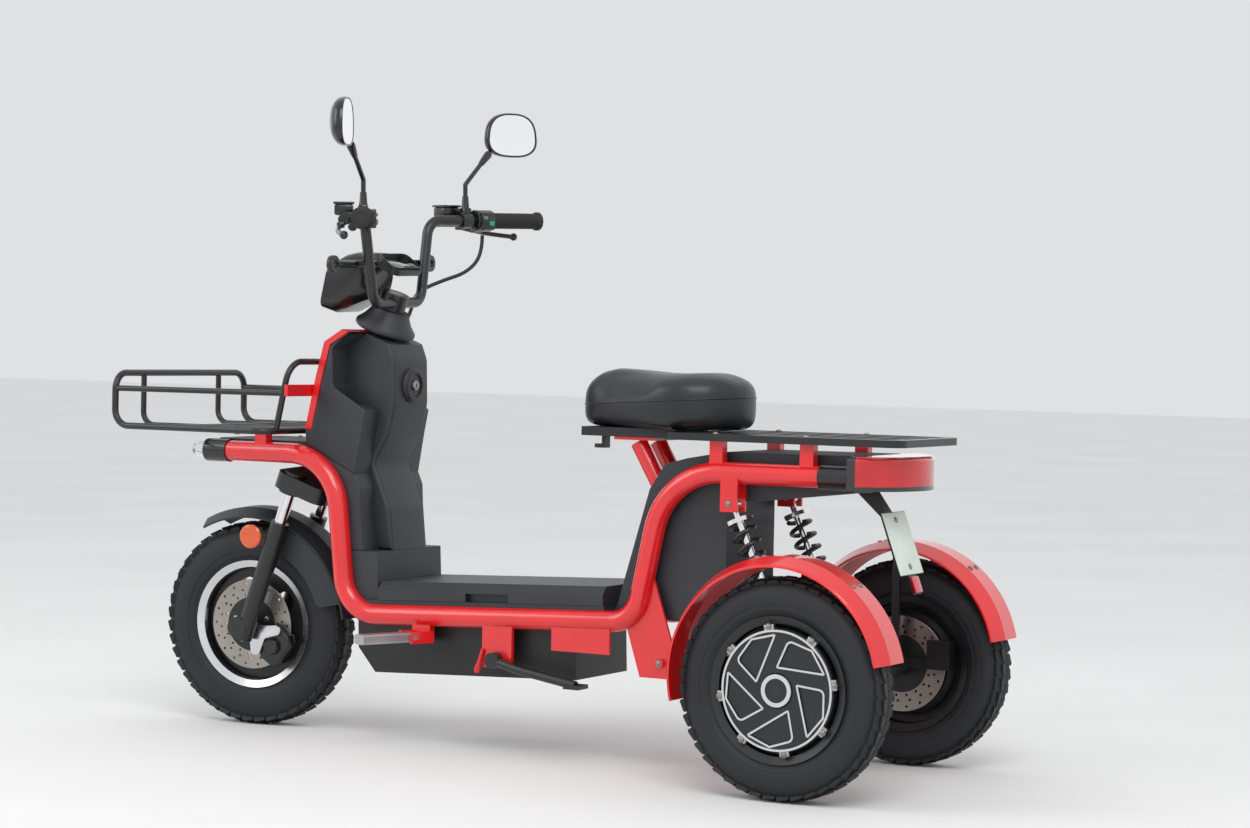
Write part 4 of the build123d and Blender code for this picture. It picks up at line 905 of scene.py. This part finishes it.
for side, mirror in (("left", Matrix()), ("right", OTHER_SIDE)):
    switch_pod = [ring(23, POD_AT, POD_AT + 44), box(-27, 0, POD_AT + 5, POD_AT + 39, -20, 18, 3),
                  ring(9, POD_AT + 8, POD_AT + 36, 20, -17)]
    perch = [ring(17, PERCH_AT, PERCH_AT + 26), box(8, 42, PERCH_AT + 4, PERCH_AT + 22, -12, 12, 2),
             box(36, 52, PERCH_AT + 22, PERCH_AT + 42, -20, -8, 3),
             box(-10, 10, PERCH_AT + 3, PERCH_AT + 23, 8, 27, 3)]
    tank = [ring(12, PERCH_AT - 34, PERCH_AT + 30, 38, -2),
            box(20, 58, PERCH_AT - 30, PERCH_AT + 14, 6, 28, 4),
            box(18, 60, PERCH_AT - 32, PERCH_AT + 16, 28, 33, 2)]
    lever = [tube([Vector(point) * MM for point in LEVER_LINE], LEVER_D),
             moved(turned(BALL, 24), offset(*LEVER_LINE[-1]))]
    controls = join(*switch_pod, *perch, *tank, *lever)
    hand_over(controls, f"bar_controls_{side}", gloss_abs, "steering", TURN @ mirror @ LEFT_BAR)
    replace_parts(controls, "bar_controls")

# %% [markdown]
# ## Reflectors and the front mudguard's skirts
# A round amber reflector stands beside each fork leg on a small arm. The front mudguard has side skirts
# behind the fork, which a plain hoop lacks.

# %% Reflectors
REFLECTOR_AHEAD, ARM_AHEAD, REFLECTOR_UP = 102, 86, -533
REFLECTOR = [(0, 8), (21, 8), (23, 7.2), (25, 5), (25, 0), (0, 0)]
for side, y in (("left", 1), ("right", -1)):
    at = Vector((REFLECTOR_AHEAD, y * 91, REFLECTOR_UP)) * MM
    hand_over(turned(REFLECTOR, 48), f"fork_reflector_{side}", reflector_amber, "steering",
              STEM_AXIS @ towards(at, (0, y, 0)))
    arm = moved(block((40, 4, 18), 1.2), offset(ARM_AHEAD, y * 88.5, REFLECTOR_UP))
    hand_over(arm, f"reflector_arm_{side}", black_powder_coat, "steering", STEM_AXIS)

# %% Mudguard skirts
SKIRT_R, SKIRT_DEEP, SKIRT_HALF, SKIRT_THICK, SKIRT_BEND = 230, 58, 56, 3, 14


def on_arc(radius, angle, bend=0):
    return radius * cos(radians(angle)), radius * sin(radians(angle)), bend


skirt_line = [on_arc(SKIRT_R, angle) for angle in range(106, 169, 3)]
skirt_line += [on_arc(SKIRT_R - SKIRT_DEEP, angle, SKIRT_BEND if angle in (165, 111) else 0)
               for angle in range(165, 107, -6)]
for side, y in (("left", SKIRT_HALF - SKIRT_THICK), ("right", -SKIRT_HALF)):
    skirt = plate(skirt_line, y, y + SKIRT_THICK, 0.8)
    hand_over(skirt, f"mudguard_skirt_{side}", grained_polypropylene, "steering",
              FRONT_WHEEL)

# %% [markdown]
# ## Saddle
# The saddle is a foam pad under a stretched vinyl cover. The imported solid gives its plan, wide at the tail
# and narrow at the nose. A copy of it is remeshed, and a cloth simulation with air pressure inside swells the
# cover as the foam does. Its flat underside is pinned, and how far a point may move is capped, so that the
# pad keeps its shape. The remesh leaves small steps, so the surface is smoothed last.

# %% Saddle pad
PAD_SHRINK = (0.975, 0.96, 0.95)
VOXEL, PINNED_HEIGHT, SWELL_CAP, ABOVE_PAN = 0.005, 0.012, 0.007, 0.0003
seat_low, seat_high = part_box("seat")

pad = twin(NODES["seat"])
pad.parent = None
pad.matrix_world = Matrix()
for key in list(pad.keys()):
    del pad[key]
activate(pad)
bpy.ops.object.mode_set(mode="EDIT")
bpy.ops.mesh.select_all(action="SELECT")
bpy.ops.mesh.remove_doubles(threshold=0.00005)
bpy.ops.transform.resize(value=PAD_SHRINK, center_override=seat_low.lerp(seat_high, 0.5))
bpy.ops.object.mode_set(mode="OBJECT")
remesh = pad.modifiers.new("remesh", "REMESH")
remesh.mode = "VOXEL"
remesh.voxel_size = VOXEL
bpy.ops.object.modifier_apply(modifier="remesh")
print("pad vertices", len(pad.data.vertices))

# %% Air pressure
lowest = min(v.co.z for v in pad.data.vertices)
pinned = pad.vertex_groups.new(name="pinned")
pinned.add([v.index for v in pad.data.vertices if v.co.z < lowest + PINNED_HEIGHT], 1.0, "REPLACE")
start = [v.co.copy() for v in pad.data.vertices]
cloth = pad.modifiers.new("cloth", "CLOTH")
cloth.settings.use_pressure = True
cloth.settings.uniform_pressure_force = 4
cloth.settings.effector_weights.gravity = 0
cloth.settings.vertex_group_mass = "pinned"
for number in range(1, 21):
    scene.frame_set(number)
activate(pad)
bpy.ops.object.modifier_apply(modifier="cloth")
scene.frame_set(1)
for vertex, before in zip(pad.data.vertices, start):
    swell = vertex.co - before
    if swell.length > SWELL_CAP:
        vertex.co = before + swell.normalized() * SWELL_CAP
even = pad.modifiers.new("even", "SMOOTH")
even.factor, even.iterations = 0.5, 36
activate(pad)
bpy.ops.object.modifier_apply(modifier="even")
shift = seat_low.z + ABOVE_PAN - min(v.co.z for v in pad.data.vertices)
pad.data.transform(Matrix.Translation((0, 0, shift)))
print("pad moved up by", round(shift, 4))

# %% [markdown]
# Seen from the side, the saddle rises from its nose, dips where the rider sits and falls away at the tail.
# The line below says how far its top is pressed down, in millimetres, at each share of the length from the
# tail to the nose. A point moves in full at the top, and not at all at the height of the welt or under it.

# %% Nose, dip and tail
SADDLE_LINE = [(0, -12), (0.04, -6), (0.09, -4), (0.25, -5), (0.4, -8), (0.52, -7), (0.64, -3), (0.78, 0),
               (0.86, -3), (0.92, -11), (0.96, -20), (1, -30)]
FIRM_HEIGHT = 0.036
for vertex in pad.data.vertices:
    along = (vertex.co.x - seat_low.x) / (seat_high.x - seat_low.x)
    for (start_at, start_z), (end_at, end_z) in zip(SADDLE_LINE, SADDLE_LINE[1:]):
        if start_at <= along <= end_at:
            drop = start_z + (end_z - start_z) * (along - start_at) / (end_at - start_at)
            share = (vertex.co.z - seat_low.z - FIRM_HEIGHT) / (seat_high.z - seat_low.z - FIRM_HEIGHT)
            vertex.co.z += drop * MM * min(max(share, 0), 1)
            break

# %% [markdown]
# The welt is a cord of vinyl sewn round the pad where the top and the skirt meet. A twin of the pad is sliced
# at that height, and the line of the cut is kept and given a round section.

# %% Welt round the saddle
WELT_R = 0.0016
welt = sliced(twin(pad), (0, 0, seat_low.z + FIRM_HEIGHT), (0.06, 0, 1), line_only=True)
bpy.ops.object.convert(target="CURVE")
welt = bpy.context.object
welt.data.bevel_depth = WELT_R
welt.data.bevel_resolution = 2
bpy.ops.object.convert(target="MESH")
welt = bpy.context.object

subdivision = pad.modifiers.new("smooth", "SUBSURF")
subdivision.levels = subdivision.render_levels = 1
activate(pad)
bpy.ops.object.modifier_apply(modifier="smooth")
hand_over(pad, "saddle_pad", saddle_vinyl, "chassis", smooth=80)
hand_over(welt, "saddle_welt", saddle_vinyl, "chassis", smooth=80)
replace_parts(pad, "seat")

# %% [markdown]
# ## Grips
# Handlebar grips are moulded rubber sleeves with fine rings to hold. The sleeve's outline is worked out ring
# by ring between the two end flanges and turned, and a copy goes on the other bar end.

# %% Ribbed grips
BAR_L = hypot(BAR_BACK, BAR_OUT)
GRIP_START, GRIP_END, RING_PITCH = BAR_L - 128, BAR_L + 3, 4.6
BORE_R, SLEEVE_R, RING_R, FLANGE_R = 11.05, 16.2, 17, 20
sleeve = [(BORE_R, GRIP_START), (FLANGE_R - 0.5, GRIP_START), (FLANGE_R, GRIP_START + 0.6),
          (FLANGE_R, GRIP_START + 3.6)]
rings = int((GRIP_END - GRIP_START - 14) / RING_PITCH)
for step in range(rings):
    base = GRIP_START + 5 + step * RING_PITCH
    sleeve += [(SLEEVE_R, base), (RING_R, base + 0.7), (RING_R, base + 3.2), (SLEEVE_R, base + 3.9)]
sleeve += [(FLANGE_R, GRIP_END - 7.5), (FLANGE_R, GRIP_END - 1), (FLANGE_R - 2, GRIP_END), (BORE_R, GRIP_END)]
for side, mirror in (("left", Matrix()), ("right", OTHER_SIDE)):
    grip = hand_over(turned(sleeve, 40), f"grip_{side}", grip_rubber, "steering",
                     TURN @ mirror @ LEFT_BAR @ ALONG_Y, 30)
    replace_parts(grip, "grips")

# %% [markdown]
# ## Control loom
# The wires and cables of the right-hand controls run in one black sleeve, which leaves the switch pod
# straight down, passes in front of the riser and goes into the stem cover. It is one smooth spline, pulled
# by a few points along its way in the photograph, and it turns with the handlebar.

# %% Control loom
LOOM_D = 0.008
LOOM_ROUTE = [(0.9821, -0.2642, 1.0420), (0.9821, -0.2642, 1.0000), (1.0000, -0.2280, 0.9620),
              (1.0360, -0.1760, 0.9440), (1.0740, -0.1320, 0.9200), (1.0660, -0.0980, 0.8840),
              (1.0550, -0.0580, 0.8650)]
route = [TURN @ Vector((x - MID_X, y, z)) for x, y, z in LOOM_ROUTE]
loom = smooth_line("control_loom", route, LOOM_D)
loom.data.materials.append(black_abs)
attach(loom, "steering")

# %% [markdown]
# ## Switches and display
# The pods beside the grips carry rocker switches on the side that faces the rider: a green starter on the
# right, and grey and red ones on the left. The display is a dark glass let into the top of its pod.

# %% Switches
SWITCH_FACE = -27.5
SWITCHES = [("starter_switch", green_button, OTHER_SIDE, 146, -6, (5, 13, 10)),
            ("lamp_switch_right", grey_button, OTHER_SIDE, 130, 6, (5, 10, 7)),
            ("signal_switch", grey_button, Matrix(), 146, -6, (6, 14, 8)),
            ("lamp_switch_left", grey_button, Matrix(), 130, 7, (5, 10, 7)),
            ("horn_button", red_rubber, Matrix(), 130, -9, (5, 9, 9))]
for name, material, mirror, along, up, size in SWITCHES:
    place = TURN @ mirror @ LEFT_BAR @ offset(SWITCH_FACE, along, up)
    hand_over(block(size, 1.4), name, material, "steering", place)

# %% Display
FACE_UP, KEY_UP, KEY_Y = 16.2, 17.4, 34
hand_over(block((46, 108, 2), 0.9), "display_face", display_glass, "steering",
          POD @ offset(0, 0, FACE_UP))
for step, y in enumerate((-KEY_Y, KEY_Y)):
    hand_over(block((14, 20, 1.2), 0.5), f"display_key_{step}", grey_button, "steering",
              POD @ offset(-10, y, KEY_UP))

# %% [markdown]
# ## Headlamp
# Behind the clear cover the lamp has a dark backing plate and two bright bowls with an element in each. The
# bowls are turned, and the backing plate and the cover are bevelled blocks sized to the housing's opening.

# %% Headlamp
BACKING_X, BOWL_X, ELEMENT_X, COVER_X, BOWL_Y = -4.1, -3.6, -3.3, 0.5, 34
BOWL = [(0, 0.2), (8, 0.2), (9, 1.2), (17, 1.6), (27, 3.4), (29, 3.4), (29, 0), (0, 0)]
ELEMENT = [(0, 2.2), (5, 1.8), (7, 0.6), (7, 0), (0, 0)]
hand_over(block((1.2, 136, 78), 0.5), "lamp_backing", gloss_abs, "steering",
          LAMP @ offset(BACKING_X, 0, 0))
for side, y in (("left", BOWL_Y), ("right", -BOWL_Y)):
    hand_over(turned(BOWL, 48), f"lamp_bowl_{side}", hard_chrome, "steering",
              LAMP @ towards(Vector((BOWL_X, y, 0)) * MM, (1, 0, 0)))
    hand_over(turned(ELEMENT, 32), f"lamp_element_{side}", clear_acrylic, "steering",
              LAMP @ towards(Vector((ELEMENT_X, y, 0)) * MM, (1, 0, 0)))
cover = hand_over(block((1.4, 137, 79), 0.6), "lamp_cover", clear_acrylic, "steering",
                  LAMP @ offset(COVER_X, 0, 0))
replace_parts(cover, "headlamp_lens")

# %% [markdown]
# ## Lock, plate and small fittings
# The ignition lock sits in a round bezel on the back of the leg shield. The number plate is a thin sheet on
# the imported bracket, held by two screws, with a square red reflector under it. A red lever hangs beside the
# stand.

# %% Ignition lock
BEZEL = [(24, 0), (24, 2.4), (26, 3.6), (30, 3.6), (33, 2.2), (34, 0)]
BARREL = [(0, 5.5), (9, 5.5), (10.5, 4), (10.5, 0), (0, 0)]
LOCK_AT = spot(1001, 0, 730)
hand_over(turned(BEZEL, 64), "lock_bezel", black_abs, "chassis", towards(LOCK_AT, (-1, 0, 0)))
hand_over(turned(BARREL, 40), "lock_barrel", zinc_plate, "chassis", towards(LOCK_AT, (-1, 0, 0)))
# The key slot is a black block on the barrel's face: painted shade standing for the dark inside the keyway.
hand_over(block((1.6, 2.2, 9), 0.5), "keyway_painted_shade", gloss_abs, "chassis",
          Matrix.Translation(LOCK_AT) @ offset(-5.6, 0, 0))

# %% Number plate
PLATE = Matrix.Translation(spot(-99, 0, 460)) @ Matrix.Rotation(radians(20), 4, "Y")
SHEET_X, SCREW_X, SCREW_UP, REFLECTOR_HALF = -2.1, -2.6, 46, 16
hand_over(block((1.0, 108, 122), 0.4), "number_plate", plate_sheet, "chassis",
          PLATE @ offset(SHEET_X, 0, 0))
for step, z in enumerate((SCREW_UP, -SCREW_UP)):
    screws(f"plate_screw_{step}", "chassis", [PLATE @ towards(Vector((SCREW_X, 0, z)) * MM, (-1, 0, 0))])

corners = [(x * REFLECTOR_HALF, z * REFLECTOR_HALF, 4) for x, z in ((-1, -1), (1, -1), (1, 1), (-1, 1))]
reflector = moved(plate(corners, -2.5, 2.5, 0.8), Matrix.Rotation(radians(90), 4, "Z"))
hand_over(reflector, "rear_reflector", reflector_red, "chassis", PLATE @ offset(-4.3, 0, -82))

# %% Stand lever
STAND_LEVER = [(0, 0), (3.5, 0), (3.6, 22), (5.6, 34), (6.4, 42), (5.0, 48), (0, 50)]
hand_over(turned(STAND_LEVER, 24), "stand_lever", red_rubber, "chassis",
          towards(spot(736, 143, 214), (0.24, 0.08, -1)))

# %% [markdown]
# ## Screws and bolts
# Bolt heads show where the frame, mudguards, springs and panels are joined. One head is turned and then set
# out by a list of places on each body, with the way that it faces.

# %% Bolts on the chassis
FENDER_X, FENDER_Y, FENDER_Z, FENDER_R = 6, 278, 222, 226.2


def fender_bolt(side, angle, across):
    out = Vector((cos(radians(angle)), 0, sin(radians(angle))))
    return towards(spot(FENDER_X, side * FENDER_Y + across, FENDER_Z) + out * FENDER_R * MM, out)


chassis_bolts = [fender_bolt(side, angle, across)
                 for side in (1, -1) for angle in (76, 128) for across in (-15, 15)]
for side in (1, -1):
    out = (0, side, 0)
    chassis_bolts += [towards(spot(196, side * 145.4, 528), out), towards(spot(345, side * 133, 212), out),
                      towards(spot(78, side * 138, 262), out)]
    chassis_bolts += [towards(spot(x, side * 138, 659.3), (0, 0, 1)) for x in (40, 230)]
    chassis_bolts += [towards(spot(x, side * 88, 618), (0, 0, 1)) for x in (1225, 1385)]
screws("chassis_bolts", "chassis", chassis_bolts)

# %% Bolts on the steering
LEG_FACE, LEG_Y, CROWN_UP = 76, 82, -392
screws("fork_bolts", "steering", [STEM_AXIS @ towards(Vector((LEG_FACE, y, CROWN_UP)) * MM, (1, 0, 0))
                                  for y in (LEG_Y, -LEG_Y)])

# %% [markdown]
# ## Studio
# A pale floor and a pale surround, as in a product photograph. The world lights the scooter softly from
# all round, one large lamp gives the tubes their long highlight, and a second fills the shadow side.
# Chrome, gloss and glass see the surround at full white, so they sparkle against its softer light.

# %% Floor
bpy.ops.mesh.primitive_plane_add(size=60, location=(0, 0, 0))
floor = bpy.context.object
floor.name = "studio_floor"
floor.data.materials.append(surface("floor_paint", "#F2F2F1", "#EDEDEC", 0.9, 30.0, 0.1, 900))

# %% Surround
SOFT, FULL = 0.8, 1.0
world = bpy.data.worlds.new("studio")
scene.world = world
world.use_nodes = True
background = world.node_tree.nodes["Background"]
background.inputs["Color"].default_value = linear("#F7F8FA")
path = add_node(world, "ShaderNodeLightPath").outputs
mirrored = add_node(world, "ShaderNodeMath", {"operation": "MAXIMUM"},
                    {0: path["Is Glossy Ray"], 1: path["Is Transmission Ray"]})
strength = add_node(world, "ShaderNodeMapRange", {"To Min": SOFT, "To Max": FULL},
                    {"Value": mirrored.outputs[0]})
world.node_tree.links.new(strength.outputs[0], background.inputs["Strength"])

# %% Lamps
AIM = Vector((0, 0, 0.5))
LAMPS = [("key_lamp", (-2.5, 3.5, 4.5), 120, 3.0), ("fill_lamp", (3.5, 3.0, 3.0), 50, 2.5)]
for name, at, power, width in LAMPS:
    bpy.ops.object.light_add(type="AREA", location=at)
    lamp = bpy.context.object
    lamp.name = name
    lamp.data.energy = power
    lamp.data.size = width
    lamp.rotation_euler = (AIM - Vector(at)).to_track_quat("-Z", "Y").to_euler()
    print(name, "watts", power)
